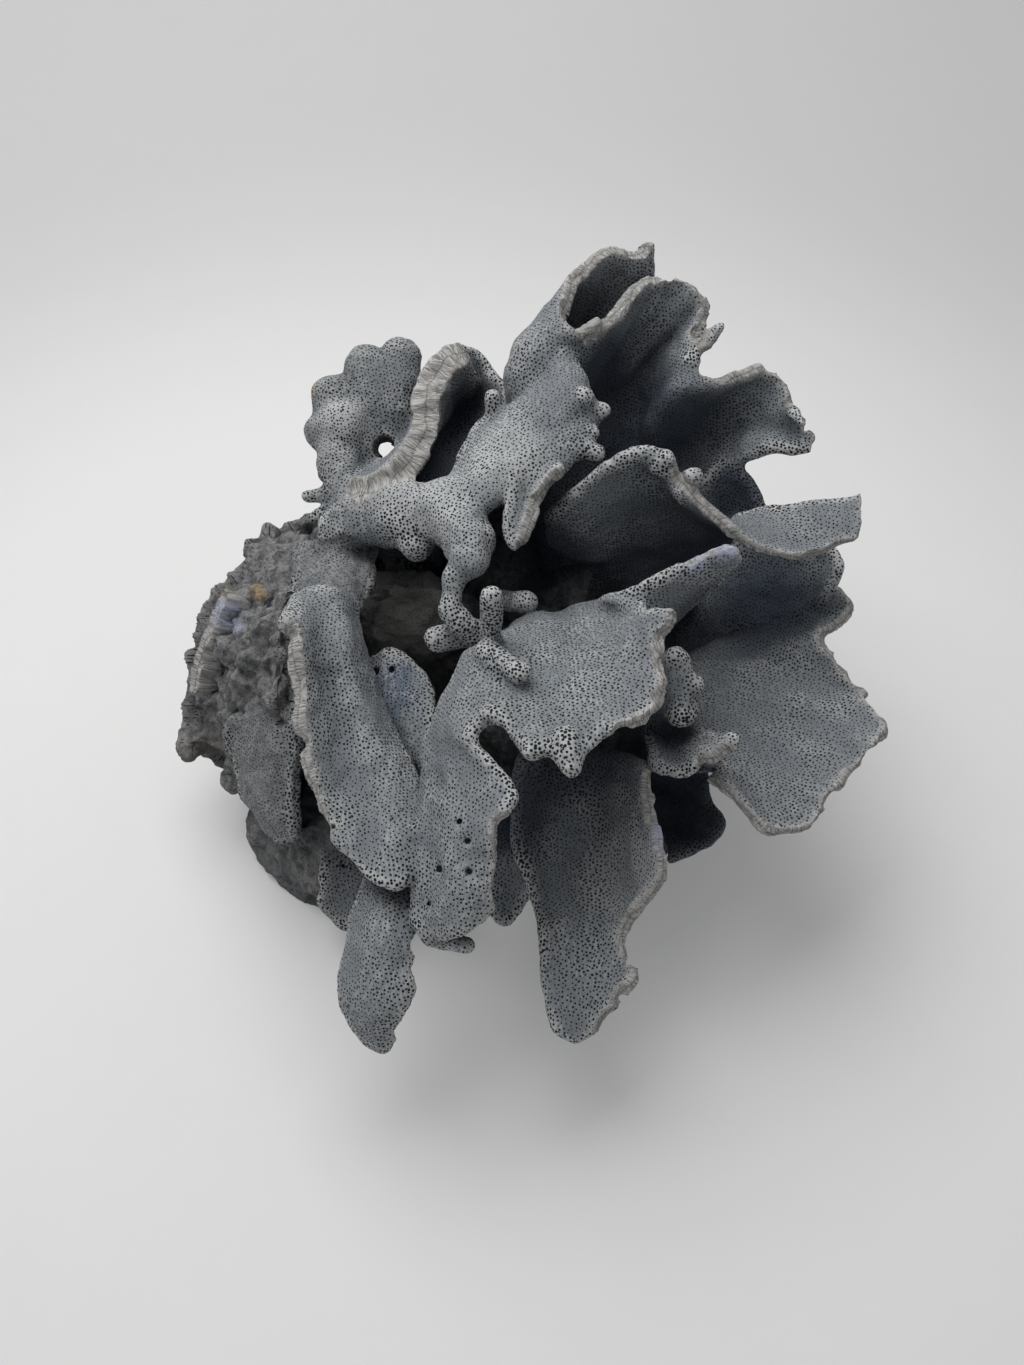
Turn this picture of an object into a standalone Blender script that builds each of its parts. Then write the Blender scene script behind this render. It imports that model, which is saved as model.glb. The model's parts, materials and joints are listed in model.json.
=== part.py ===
"""A blue coral colony: a cut-off holdfast that carries upright, wavy fronds.

Sizes are in millimetres in the tables and become metres when a mesh is made. The fronds are
laid out in a sloping frame: the first number runs across the colony, the second runs up a
plane that leans back at LEAN, and the third stands out of that plane. The colony rests on
the flat cut of its holdfast, and the origin is the middle of that cut.
"""

import math

import bmesh
import bpy
from mathutils import Matrix, Vector

MM = 0.001
LEAN = math.radians(48)  # slope of the layout plane above the ground
PLANE_HEIGHT = 75  # height of the layout plane's middle above the cut
CUT_CENTRE = (-20, 10)  # the middle of the cut, across and back from the layout's middle
PLATE = 4.6  # usual thickness of a living frond
OLD_PLATE = 10  # thickness of the old, overgrown walls
JOINT_GAP = 0.45  # space left between a frond and its neighbour
CLEARANCE = 1.2  # every frond stays this far above the ground
VOXEL = 1.7  # cell of the mesh that rounds a frond's parts into one
SMOOTHING = 4
LOFT_STEPS = 3  # faces along each span between two layout points

BLUE_GREY = (0.20, 0.235, 0.255)
PALE_GREY = (0.27, 0.30, 0.31)
DARK_GREY = (0.12, 0.14, 0.16)
OLD_BROWN = (0.20, 0.19, 0.17)

# Each frond has sheets, lofted through rows of layout points, and pegs, which are tapered
# limbs from one point to another.
FRONDS = {
    "back_fan": {
        "faces": 840,
        "colour": BLUE_GREY,
        "sheets": [
            (PLATE, [
                [(-14, 32, -68), (12, 30, -70), (38, 28, -72), (62, 32, -70)],
                [(26, 84, -52), (0, 86, -22), (15, 65, -38), (44, 64, -47), (68, 64, -42)],
                [(47, 131, -31), (24, 125, -25), (6, 115, -9), (2, 106, 3), (13, 95, 0),
                 (30, 102, -26), (48, 112, -34), (54, 106, -22), (53, 95, -13), (66, 95, -28),
                 (79, 91, -34), (84, 79, -26)],
                [(47, 151, -12), (44, 146, -14), (34, 147, -11), (25, 140, -6), (19, 129, 0),
                 (18, 118, 4), (25, 114, 4), (31, 119, 0), (37, 128, -5), (44, 136, -10),
                 (51, 139, -13), (60, 137, -15), (66, 132, -15), (65, 123, -15), (62, 114, -14),
                 (65, 105, -13), (72, 103, -14), (80, 106, -16), (88, 108, -18), (95, 103, -20),
                 (98, 93, -21), (105, 87, -22), (104, 79, -22)],
            ]),
        ],
        "pegs": [
            ((61, 110, -13), (71, 121.5, -15), 2.6, 1.7),
            ((97, 92, -18), (99, 88, -14), 2, 1.6),
        ],
    },
    "left_branch": {
        "faces": 700,
        "colour": PALE_GREY,
        "sheets": [
            (6, [
                [(-20, 42, 20), (-15, 37, 34), (-12, 37, 35), (-9, 42, 30)],
                [(-24, 57, 10), (-17, 53, 24), (-13, 52, 27), (-9, 53, 25)],
                [(-17, 70, 8), (-7, 70, 22), (6, 67, 26), (14, 65, 20)],
                [(-9, 85, 2), (1, 84, 16), (14, 81, 18), (26, 81, 12)],
                [(4, 95, -2), (11, 96, 8), (17, 95, 12), (25, 91, 8)],
                [(11, 109, -2), (15, 109, 4), (20, 109, 2)],
            ]),
            (PLATE, [
                [(1, 68, 25), (8, 67, 21), (15, 67, 25)],
                [(-0.6, 56, 29), (4, 56, 25), (9, 56, 30)],
                [(-1.2, 48, 30), (2, 48, 27), (6, 48.5, 32)],
                [(-1.2, 41, 31), (2.4, 41, 33)],
            ]),
        ],
        "pegs": [
            ((-12.5, 44, 28), (-20, 55, 15), 7, 9.5),
            ((-20, 55, 15), (-37, 55, 5), 9.5, 10.5),
            ((-37, 55, 5), (-51, 53, 0), 10.5, 9),
            ((-50, 53, 0), (-61, 42, -3), 8.5, 6.5),
            ((-34, 50, 8), (-31, 44, 12), 6, 5),
            ((-53, 56, -2), (-60, 52, 1), 5.5, 4),
            ((20, 87, 8), (23, 91.5, 15), 3.6, 3.1),
            ((21, 87, 8), (29.5, 87, 13), 3.4, 2.5),
            ((19, 77, 14), (27, 73, 17), 4, 2.8),
            ((20, 82, 12), (26, 80, 15), 3, 2.2),
            ((-13, 43, 28), (-12, 37, 33), 6.5, 5.2),
            ((-14, 38, 33), (-17.5, 32, 33), 4.6, 2.9),
            ((-17.5, 32, 33), (-19, 22, 33), 2.8, 3),
            ((-19, 22, 33), (-16, 18.5, 32), 3.2, 3.8),
            ((-16, 18.5, 32), (-10.5, 16, 28), 3.8, 3.4),
            ((-11, 15, 26), (-23.5, 13.5, 24), 3.8, 3.9),
            ((-4, 85, 2), (-6, 93, 5), 3.2, 2.6),
        ],
    },
    "back_left_lobe": {
        "faces": 700,
        "colour": BLUE_GREY,
        "sheets": [
            (8, [
                [(-64, 28, -62), (-42, 32, -70), (-16, 36, -70)],
                [(-64, 42, -48), (-48, 44, -52), (-26, 46, -52)],
                [(-62, 56, -27), (-51, 57, -24), (-36, 62, -24)],
                [(-62, 73, -16), (-53, 77, -14), (-43, 77, -18), (-36, 72, -20)],
                [(-64, 89, -22), (-57, 92, -18), (-46, 96, -18), (-36, 97, -22)],
                [(-62, 101, -26), (-56, 104, -26), (-50, 108, -26), (-42, 108, -24),
                 (-34, 110, -24)],
            ]),
            (10.4, [
                [(-47, 74, -30), (-34, 86, -36), (-24, 99, -38), (-15, 106, -38)],
                [(-52, 64, 2), (-45, 63, 6), (-37, 69, 5), (-31, 78, 2), (-28.5, 88, 0),
                 (-27.5, 99, -4), (-24, 108, -9), (-16, 112, -13)],
            ]),
            (PLATE, [
                [(-36, 62, -10), (-24, 59, -17), (-12, 64, -14), (-2, 78, -10)],
                [(-28, 92, -33), (-19, 95, -38), (-11, 96, -36), (-3, 96, -24)],
                [(-26, 112, -24), (-19, 117, -26), (-12, 116, -27), (-7, 109, -27),
                 (-1, 102, -24)],
            ]),
        ],
        "pegs": [
            ((-50, 94, -22), (-50.5, 110, -21), 10, 6.6),
            ((-42, 95, -22), (-38, 112.5, -22), 9.5, 7),
            ((-46, 92, -22), (-45, 103, -22), 9, 7.5),
            ((-56, 92, -20), (-61, 98, -18), 9.5, 8),
            ((-60, 92, -20), (-65, 86, -17), 8, 6.5),
            ((-54, 84, -18), (-57, 87, -13), 9.5, 8.8),
            ((-60, 80, -14), (-59, 72, -9), 6.5, 6),
            ((-58, 74, -10), (-55, 63, -3), 6.5, 6),
            ((-58, 63.5, -6), (-68, 62, -5), 3.2, 2.2),
            ((-58, 58, -5), (-66.5, 55, -3), 2.9, 1.9),
        ],
    },
    "right_upper_frond": {
        "faces": 520,
        "colour": BLUE_GREY,
        "sheets": [
            (PLATE, [
                [(11, 54, 10), (13, 47, -5)],
                [(21, 62, 18), (25, 50, 4), (30, 38, -20)],
                [(35, 71, 23), (38, 56, 4), (43, 38, -22)],
                [(45, 73, 22), (50, 54, 2), (55, 39, -24)],
                [(53, 64, 22), (60, 52, 2), (66, 42, -22)],
                [(62, 54, 24), (67, 52, 6), (76, 50, -16)],
                [(73, 44, 23), (76, 49, 11), (78, 56, -6)],
                [(90, 38, 24), (92, 47, 15), (93, 58, 8)],
                [(103, 43, 20), (106, 50, 16), (107, 59, 12)],
                [(110, 45, 18), (112, 53, 15), (113, 62, 12)],
            ]),
            (PLATE, [
                [(30, 38, -20), (43, 38, -22), (55, 39, -24), (66, 42, -22)],
                [(25, 22, -50), (40, 20, -52), (55, 20, -52), (64, 24, -50)],
            ]),
        ],
        "pegs": [
            ((54, 60, 19), (57.5, 65, 24), 3.4, 2.4),
            ((46, 68, 22), (48, 70, 24), 3, 2.6),
        ],
    },
    "right_inner_frond": {
        "faces": 320,
        "colour": DARK_GREY,
        "sheets": [
            (PLATE, [
                [(48, 12, -66), (52, 2, -58), (56, -8, -50)],
                [(62, 34, -52), (68, 24, -45), (77, 15, -30)],
                [(68, 55, -45), (80, 51, -38), (89, 40, -32), (92, 20, -24)],
                [(68, 71, -32), (78, 77, -30), (86, 67, -28), (91, 56, -24), (101, 50, -14),
                 (108, 44, -8), (109, 37, -6), (103, 22, -8)],
            ]),
        ],
        "pegs": [],
    },
    "right_fan": {
        "faces": 700,
        "colour": BLUE_GREY,
        "sheets": [
            (PLATE, [
                [(50, -2, -50), (42, -14, -38), (38, -28, -25)],
                [(78, 15, -28), (65, 8, -24), (56, -6, -8), (52, -19, 5), (53, -28, 18)],
                [(93, 21, -16), (86, 8, -8), (84, -8, 4), (79, -21, 14), (66, -27, 21)],
                [(104, 30, -2), (109, 31, -2), (114, 26, -1), (108, 20, 2), (103, 14, 5),
                 (106, 7, 8), (110, 1, 10), (115, -3, 12), (112, -6, 16), (117, -10, 20),
                 (118, -15, 24), (114, -20, 27), (106, -27, 30), (101, -32, 32), (97, -38, 34),
                 (92, -44, 36), (85, -46, 38), (76, -44, 38), (70, -39, 36), (66, -34, 34),
                 (59, -31, 30)],
            ]),
            (PLATE, [
                [(42, -16, 12), (50, -18, 14), (56, -16, 12)],
                [(43, -5, 24), (50, -6, 31), (56, -5, 27)],
                [(46, 6, 28), (50, 8, 33), (53, 5, 31)],
            ]),
            (PLATE, [
                [(42, -14, 16), (50, -15, 18), (57, -14, 18)],
                [(44, -25, 35), (52, -28, 38), (57, -25, 39), (61, -22, 41), (65, -19, 43)],
            ]),
        ],
        "pegs": [
            ((50, 6, 32), (53, -9, 33), 4.2, 4.6),
            ((49, 3, 30), (50, 8, 35), 3.4, 2.8),
            ((52, -2, 30), (55.5, -1, 35), 3.4, 2.8),
            ((50, -8, 30), (52, -10, 36), 3.4, 3),
            ((60, -21, 38), (66, -17.5, 42), 2.6, 2.4),
        ],
    },
    "centre_frond": {
        "faces": 750,
        "colour": PALE_GREY,
        "sheets": [
            (PLATE, [
                [(0, 5, -5), (15, 8, -10), (30, 10, -10)],
                [(-10, 8, 38), (1, 17, 24), (17, 22, 14), (30, 25, 12), (39, 27, 18)],
                [(-8, -2, 56), (4, 3, 52), (17, 5, 50), (29, 9, 50), (39, 21, 50)],
                [(-7, -9, 66), (-1, -11, 70), (2, -16, 72), (6, -19, 75), (12, -20, 78),
                 (16, -23, 80), (21, -18, 78), (26, -14, 76), (31, -13, 75), (36, -11, 74),
                 (41, -7, 71), (43, -1, 68), (43, 6, 65), (45, 13, 62), (47, 20, 60)],
            ]),
            (PLATE, [
                [(26, 26, 22), (36, 22, 38), (42, 14, 34)],
                [(39, 29.5, 37), (44, 25, 34), (48, 17, 20)],
                [(50, 35.5, 40), (54, 31, 34), (56, 24, 18)],
                [(62, 40.5, 41), (65, 37, 35), (62, 30, 22)],
                [(70, 39.5, 42), (70, 37.5, 38), (66, 33, 28)],
            ]),
        ],
        "pegs": [
            ((-6, 11, 42), (-6, 25, 60), 3.6, 3.2),
            ((-7, 9, 52), (2, 3, 62), 3.8, 3.2),
            ((15, -16, 76), (16, -23, 81), 4.2, 3.2),
            ((-3, 26, 12), (5, 26, 22), 3.6, 3.4),
            ((5, -16, 72), (5, -19, 76), 3.2, 2.8),
        ],
    },
    "front_ridge_frond": {
        "faces": 700,
        "colour": PALE_GREY,
        "sheets": [
            (PLATE, [
                [(-13, 9, 36), (-8, 9, 46), (-2, 7, 52)],
                [(-18, -2, 45), (-12, -2, 56), (-4, -7, 63)],
                [(-24, -16, 46), (-17, -15, 60), (-11, -16, 67)],
                [(-26, -28, 46), (-16, -28, 63), (-7, -24, 68), (1, -30, 74)],
                [(-26, -41, 50), (-18, -42, 66), (-9, -41, 72), (-4, -39, 76)],
                [(-27, -55, 54), (-19, -56, 68), (-10, -55, 74), (-4, -51, 75)],
                [(-28, -70, 56), (-20, -72, 67), (-13, -69, 72), (-6, -65, 72)],
            ]),
        ],
        "pegs": [
            ((-23, -73, 60), (-13, -75, 64), 2.8, 2.6),
            ((-28, -44, 54), (-28, -52, 56), 3, 3),
        ],
    },
    "front_left_frond": {
        "faces": 480,
        "colour": PALE_GREY,
        "sheets": [
            (PLATE, [
                [(-67, 25, 22), (-58, 29, 26), (-51, 23, 18)],
                [(-66, 15, 45), (-59, 13, 36), (-51, 13, 34), (-47, 8, 20)],
                [(-64, 1, 47), (-57, -2, 37), (-48, -2, 37), (-42, -6, 24)],
                [(-63, -14, 49), (-53, -17, 41), (-43, -17, 41), (-36, -20, 31)],
                [(-60, -29, 51), (-50, -32, 46), (-38, -32, 47), (-28, -31, 40)],
                [(-53, -45, 54), (-44, -43, 53), (-34, -44, 56), (-27, -42, 48)],
                [(-49, -48, 55), (-41, -56, 59), (-32, -59, 62), (-27, -53, 55)],
            ]),
        ],
        "pegs": [],
    },
    "front_left_tongue": {
        "faces": 280,
        "colour": BLUE_GREY,
        "sheets": [
            (PLATE, [
                [(-42, -56, 40), (-35, -57, 46), (-28, -58, 48)],
                [(-48, -74, 46), (-38, -70, 57), (-29, -73, 54)],
                [(-50, -85, 48), (-39, -83, 59), (-28, -81, 56)],
                [(-50, -95, 49), (-40, -94, 59), (-28, -90, 58)],
                [(-45, -103, 50), (-38, -103, 55), (-33, -98, 55)],
                [(-39, -108, 50), (-36, -110, 51), (-34, -106, 52)],
            ]),
        ],
        "pegs": [],
    },
    "front_fan": {
        "faces": 520,
        "colour": BLUE_GREY,
        "sheets": [
            (PLATE, [
                [(5, -32, -16), (20, -32, -16), (36, -30, -14)],
                [(3, -21, 0), (16, -21, 5), (28, -22, 12), (41, -26, 26)],
                [(1, -38, 12), (13, -38, 11), (30, -37, 16), (41, -34, 38)],
                [(1, -53, 18), (13, -53, 17), (32, -54, 25), (45, -49, 48)],
                [(7, -67, 28), (17, -64, 28), (33, -65, 31), (44, -61, 50)],
                [(9, -78, 37), (17, -74, 38), (27, -75, 38), (32, -75, 47)],
                [(10, -89, 43), (18, -86, 44), (27, -84, 47), (37, -84, 54)],
                [(11, -99, 48), (18, -96, 48), (26, -94, 51), (32, -92, 56)],
                [(14, -104, 50), (19, -106, 51), (23, -103, 53)],
            ]),
        ],
        "pegs": [],
    },
    "low_right_frond": {
        "faces": 180,
        "colour": DARK_GREY,
        "sheets": [
            (5.6, [
                [(36, -28, -30), (38, -42, -28), (34, -54, -26)],
                [(55, -29, -18), (58, -44, -18), (53, -54, -16)],
                [(66, -29, -14), (67, -41, -13), (72, -47, -12), (68, -54, -12), (61, -57, -10),
                 (52, -61, -9)],
            ]),
        ],
        "pegs": [],
    },
    "low_left_frond": {
        "faces": 180,
        "colour": DARK_GREY,
        "sheets": [
            (5.6, [
                [(-48, -42, -14), (-42, -50, -10), (-38, -58, -8)],
                [(-65, -55, -8), (-63, -64, -7), (-65, -71, -8), (-64, -76, -8), (-59, -80, -6),
                 (-55, -82, -4), (-50, -74, -2)],
            ]),
        ],
        "pegs": [],
    },
    "low_front_frond": {
        "faces": 180,
        "colour": DARK_GREY,
        "sheets": [
            (5.6, [
                [(-6, -28, -16), (2, -28, -16), (10, -28, -14)],
                [(-8, -50, 2), (0, -52, 4), (8, -50, 2)],
                [(-8, -72, 16), (-4, -77, 17), (0, -77, 17), (3, -70, 17), (7, -66, 15),
                 (8, -58, 8)],
            ]),
        ],
        "pegs": [],
    },
    "inner_lobe": {
        "faces": 240,
        "colour": BLUE_GREY,
        "sheets": [
            (6.4, [
                [(-45, -24, -24), (-38, -28, -22), (-32, -30, -20)],
                [(-44, -21, 7), (-34, -28, 14), (-25, -28, 25)],
                [(-49, -6, 8), (-37, -7, 17), (-25, -14, 22)],
                [(-51, 3, 2), (-45, 9, 3), (-38, 10, 4), (-32, 6, 7), (-26, -2, 12),
                 (-24, -9, 18)],
            ]),
        ],
        "pegs": [],
    },
    "left_wall": {
        "faces": 640,
        "colour": OLD_BROWN,
        "sheets": [
            (OLD_PLATE, [
                [(-84, 52, -40), (-74, 48, -25), (-61, 42, -10)],
                [(-98, 34, -28), (-86, 34, -10), (-70, 29, 6)],
                [(-110, 12, -32), (-92, 11, -6), (-73, 11, 14)],
                [(-113, -8, -36), (-93, -10, -10), (-73, -10, 10)],
                [(-110, -22, -44), (-93, -28, -22), (-73, -26, 2)],
                [(-96, -35, -46), (-85, -42, -28), (-71, -43, -10)],
                [(-82, -48, -30), (-78, -51, -26), (-72, -50, -18)],
            ]),
            (6.8, [
                [(-72, 46, -16), (-60, 48, -12), (-47, 46, -8)],
                [(-70, 34, 6), (-58, 37, 10), (-47, 33, 5)],
                [(-68, 22, 22), (-58, 26, 24), (-50, 22, 17)],
            ]),
            (6.4, [
                [(-84, 32, -34), (-94, 14, -42), (-100, -4, -46)],
                [(-95, 30, -13), (-104, 14, -19), (-110, -3, -24)],
            ]),
            (6.8, [
                [(-90, 8, -10), (-80, 6, 2), (-70, 5, 8)],
                [(-92, -12, -10), (-81, -15, 4), (-69, -17, 10)],
                [(-91, -34, -13), (-82, -39, 1), (-71, -41, 7)],
                [(-85, -44, -13), (-78, -52, -6), (-71, -51, 0)],
            ]),
            (6.4, [
                [(-84, 38, -32), (-74, 36, -28), (-62, 36, -30)],
                [(-84, 52, -42), (-78, 58, -44), (-71, 61, -45), (-63, 61, -46)],
            ]),
            (6, [
                [(-92, 36, -54), (-76, 38, -54)],
                [(-96, 46, -40), (-91, 54, -37), (-85, 54, -37), (-78, 47, -38)],
            ]),
        ],
        "pegs": [
            ((-93, -10, -12), (-97, -32, -30), 9, 7),
            ((-100, -12, -34), (-108, -21, -37), 8, 6.5),
            ((-86, 40, -22), (-80, 44, -20), 6, 5),
            ((-84, 12, -2), (-80, 20, 6), 6, 4),
            ((-98, -18, -30), (-112, -21, -31), 8.5, 7),
        ],
    },
}

# The holdfast is a mound of rounded lumps: centre across, back and up from the cut, radii.
LUMPS = [
    ((-20, 20, 6), (72, 52, 34)),
    ((28, 15, 8), (42, 44, 34)),
    ((8, -4, 48), (24, 18, 38)),
    ((-72, 18, 18), (30, 34, 36)),
    ((-80, 26, 34), (22, 30, 32)),
    ((-36, 70, 18), (48, 28, 30)),
    ((-38, 46, 50), (32, 20, 34)),
    ((34, 60, 25), (44, 26, 42)),
    ((-8, 74, 36), (22, 20, 58)),
    ((0, 62, 14), (40, 30, 36)),
    ((-62, 46, 18), (36, 36, 38)),
    ((34, 38, 14), (46, 34, 40)),
    ((-58, -8, 16), (36, 36, 36)),
    ((-30, -38, 34), (15, 15, 42)),
]
HOLDFAST_FACES = 660


def on_plane(point):
    """Turns a layout point into a place above the cut, in metres."""
    across, up, out = point
    back = up * math.sin(LEAN) - out * math.cos(LEAN)
    height = PLANE_HEIGHT + up * math.cos(LEAN) + out * math.sin(LEAN)
    return Vector((across - CUT_CENTRE[0], back - CUT_CENTRE[1], height)) * MM


def spline(points, steps):
    """Runs a smooth curve through the points, with this many steps in each span."""
    ends = [points[0] * 2 - points[1], *points, points[-1] * 2 - points[-2]]
    curve = []
    for i in range(len(points) - 1):
        p0, p1, p2, p3 = ends[i : i + 4]
        for k in range(steps):
            t = k / steps
            curve.append(
                p1
                + (p2 - p0) * (t / 2)
                + (p0 * 2 - p1 * 5 + p2 * 4 - p3) * (t * t / 2)
                + (p1 * 3 - p0 - p2 * 3 + p3) * (t**3 / 2)
            )
    return [*curve, points[-1].copy()]


def sample(curve, t):
    """Reads a curve's point at the share t of its length in steps."""
    place = t * (len(curve) - 1)
    i = min(int(place), len(curve) - 2)
    return curve[i].lerp(curve[i + 1], place - i)


def loft(rows):
    """Makes one open sheet through rows of points."""
    widest = max(len(row) for row in rows)
    columns = (widest - 1) * LOFT_STEPS
    curves = [spline([on_plane(p) for p in row], 8) for row in rows]
    across = [[sample(c, k / columns) for c in curves] for k in range(columns + 1)]
    lines = [spline(line, LOFT_STEPS) for line in across]
    grid = bmesh.new()
    verts = [[grid.verts.new(p) for p in line] for line in lines]
    for left, right in zip(verts, verts[1:]):
        for i in range(len(left) - 1):
            grid.faces.new((left[i], right[i], right[i + 1], left[i + 1]))
    return grid


def add_peg(mesh, start, end, start_radius, end_radius):
    """Adds a tapered limb with round ends to a mesh."""
    a, b = on_plane(start), on_plane(end)
    axis = b - a
    turn = axis.to_track_quat("Z", "Y").to_matrix().to_4x4()
    bmesh.ops.create_cone(
        mesh, cap_ends=True, segments=12, radius1=start_radius * MM, radius2=end_radius * MM,
        depth=axis.length, matrix=Matrix.Translation((a + b) / 2) @ turn,
    )
    for place, radius in ((a, start_radius), (b, end_radius)):
        bmesh.ops.create_uvsphere(
            mesh, u_segments=12, v_segments=8, radius=radius * MM,
            matrix=Matrix.Translation(place),
        )


def make_collection(name):
    collection = bpy.data.collections.new(name)
    bpy.context.scene.collection.children.link(collection)
    return collection


def make_object(name, mesh, collection):
    data = bpy.data.meshes.new(name)
    mesh.to_mesh(data)
    mesh.free()
    obj = bpy.data.objects.new(name, data)
    collection.objects.link(obj)
    return obj


def bake(obj):
    """Replaces an object's mesh by what its modifiers make of it."""
    graph = bpy.context.evaluated_depsgraph_get()
    mesh = bpy.data.meshes.new_from_object(obj.evaluated_get(graph))
    obj.modifiers.clear()
    obj.data = mesh
    mesh.name = obj.name


def join(target, others):
    """Joins the meshes of several objects into the target's, still as separate shells."""
    whole = bmesh.new()
    for obj in (target, *others):
        whole.from_mesh(obj.data)
    whole.to_mesh(target.data)
    whole.free()
    for obj in others:
        bpy.data.objects.remove(obj)


def round_together(obj, faces):
    """Fuses an object's overlapping shells into one rounded body of about this many faces."""
    fuse = obj.modifiers.new("fuse", "REMESH")
    fuse.mode = "VOXEL"
    fuse.voxel_size = VOXEL * MM
    smooth = obj.modifiers.new("smooth", "SMOOTH")
    smooth.iterations = SMOOTHING
    bake(obj)
    keep_largest_body(obj)
    thin_out(obj, faces)


def thin_out(obj, faces):
    """Collapses edges until the object has about this many triangles."""
    triangles = sum(len(p.vertices) - 2 for p in obj.data.polygons)
    thin = obj.modifiers.new("thin", "DECIMATE")
    thin.ratio = min(1, faces / triangles)
    bake(obj)


def keep_largest_body(obj):
    """Deletes every loose body but the largest."""
    mesh = bmesh.new()
    mesh.from_mesh(obj.data)
    left = set(mesh.verts)
    bodies = []
    while left:
        body, edge = set(), [left.pop()]
        while edge:
            vert = edge.pop()
            body.add(vert)
            near = {e.other_vert(vert) for e in vert.link_edges} & left
            left -= near
            edge.extend(near)
        bodies.append(body)
    bodies.sort(key=len)
    bmesh.ops.delete(mesh, geom=[v for b in bodies[:-1] for v in b], context="VERTS")
    mesh.to_mesh(obj.data)
    mesh.free()


def paint(obj, colour):
    """Gives an object its own dull, stony material."""
    material = bpy.data.materials.new(obj.name)
    material.use_nodes = True
    shader = material.node_tree.nodes["Principled BSDF"]
    shader.inputs["Base Color"].default_value = (*colour, 1)
    shader.inputs["Roughness"].default_value = 0.9
    shader.inputs["Metallic"].default_value = 0
    obj.data.materials.clear()
    obj.data.materials.append(material)


def make_frond(name, design, collection):
    """Models one frond as a single closed body."""
    pegs = bmesh.new()
    for start, end, start_radius, end_radius in design["pegs"]:
        add_peg(pegs, start, end, start_radius, end_radius)
    frond = make_object(name, pegs, collection)
    sheets = []
    for thickness, rows in design["sheets"]:
        sheet = make_object(name + "_sheet", loft(rows), collection)
        solid = sheet.modifiers.new("plate", "SOLIDIFY")
        solid.thickness = thickness * MM
        solid.offset = 0
        bake(sheet)
        sheets.append(sheet)
    join(frond, sheets)
    round_together(frond, design["faces"])
    return frond


def make_holdfast(collection):
    """Models the mound that carries the fronds."""
    lumps = bmesh.new()
    for centre, radii in LUMPS:
        place = Vector((centre[0] - CUT_CENTRE[0], centre[1] - CUT_CENTRE[1], centre[2]))
        size = Matrix.Diagonal((*(Vector(radii) * MM), 1))
        bmesh.ops.create_uvsphere(
            lumps, u_segments=32, v_segments=20, radius=1,
            matrix=Matrix.Translation(place * MM) @ size,
        )
    mound = make_object("holdfast", lumps, collection)
    round_together(mound, HOLDFAST_FACES)
    return mound


def make_ground_cutter(collection, height, name):
    """Makes a slab that takes away all that lies below this height."""
    slab = bmesh.new()
    bmesh.ops.create_cube(slab, size=1)
    cutter = make_object(name, slab, collection)
    cutter.scale = (0.5, 0.5, 0.2)
    cutter.location.z = height * MM - 0.1
    cutter.hide_render = True
    cutter.display_type = "WIRE"
    return cutter


def cut(obj, cutter):
    """Takes a cutter away from an object and keeps the largest piece."""
    boolean = obj.modifiers.new("cut", "BOOLEAN")
    boolean.operation = "DIFFERENCE"
    boolean.solver = "EXACT"
    boolean.object = cutter
    bake(obj)
    keep_largest_body(obj)


def boxes_meet(one, other):
    """Says whether the boxes around two objects overlap."""
    corners = []
    for obj in (one, other):
        places = [v.co for v in obj.data.vertices]
        low = [min(p[i] for p in places) for i in range(3)]
        high = [max(p[i] for p in places) for i in range(3)]
        corners.append((low, high))
    (low_a, high_a), (low_b, high_b) = corners
    return all(low_a[i] < high_b[i] and low_b[i] < high_a[i] for i in range(3))


def swollen_copy(obj, collection):
    """Makes a cutter that is the object grown by the joint gap."""
    cutter = bpy.data.objects.new(obj.name + "_cutter", obj.data.copy())
    collection.objects.link(cutter)
    grow = cutter.modifiers.new("grow", "DISPLACE")
    grow.strength = JOINT_GAP * MM
    grow.mid_level = 0
    bake(cutter)
    cutter.hide_render = True
    cutter.display_type = "WIRE"
    return cutter


def main():
    for obj in list(bpy.data.objects):
        bpy.data.objects.remove(obj)
    colony = make_collection("blue_coral")
    cutters = make_collection("cutters")
    bpy.context.view_layer.update()

    holdfast = make_holdfast(colony)
    bpy.context.view_layer.update()
    cut(holdfast, make_ground_cutter(cutters, 0, "cut_face"))
    paint(holdfast, OLD_BROWN)
    made = [holdfast]
    clearance = make_ground_cutter(cutters, CLEARANCE, "ground_clearance")
    bpy.context.view_layer.update()
    for name, design in FRONDS.items():
        frond = make_frond(name, design, colony)
        for neighbour in made:
            if boxes_meet(frond, neighbour):
                cutter = swollen_copy(neighbour, cutters)
                cut(frond, cutter)
                bpy.data.objects.remove(cutter)
        cut(frond, clearance)
        paint(frond, design["colour"])
        made.append(frond)


main()
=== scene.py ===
"""The looks of a blue coral colony: porous, wavy fronds with broken rims on an old holdfast.

The fronds grow as sheets and pegs laid out in the same sloping frame as the CAD solids. Their
samples are spread on a fine grid and blurred, so that fronds flow into each other where they
meet. The grid's surface is split into one piece for each CAD node.
"""

import json
import math

import bmesh
import bpy
import numpy as np
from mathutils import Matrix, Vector
from mathutils.kdtree import KDTree

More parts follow.
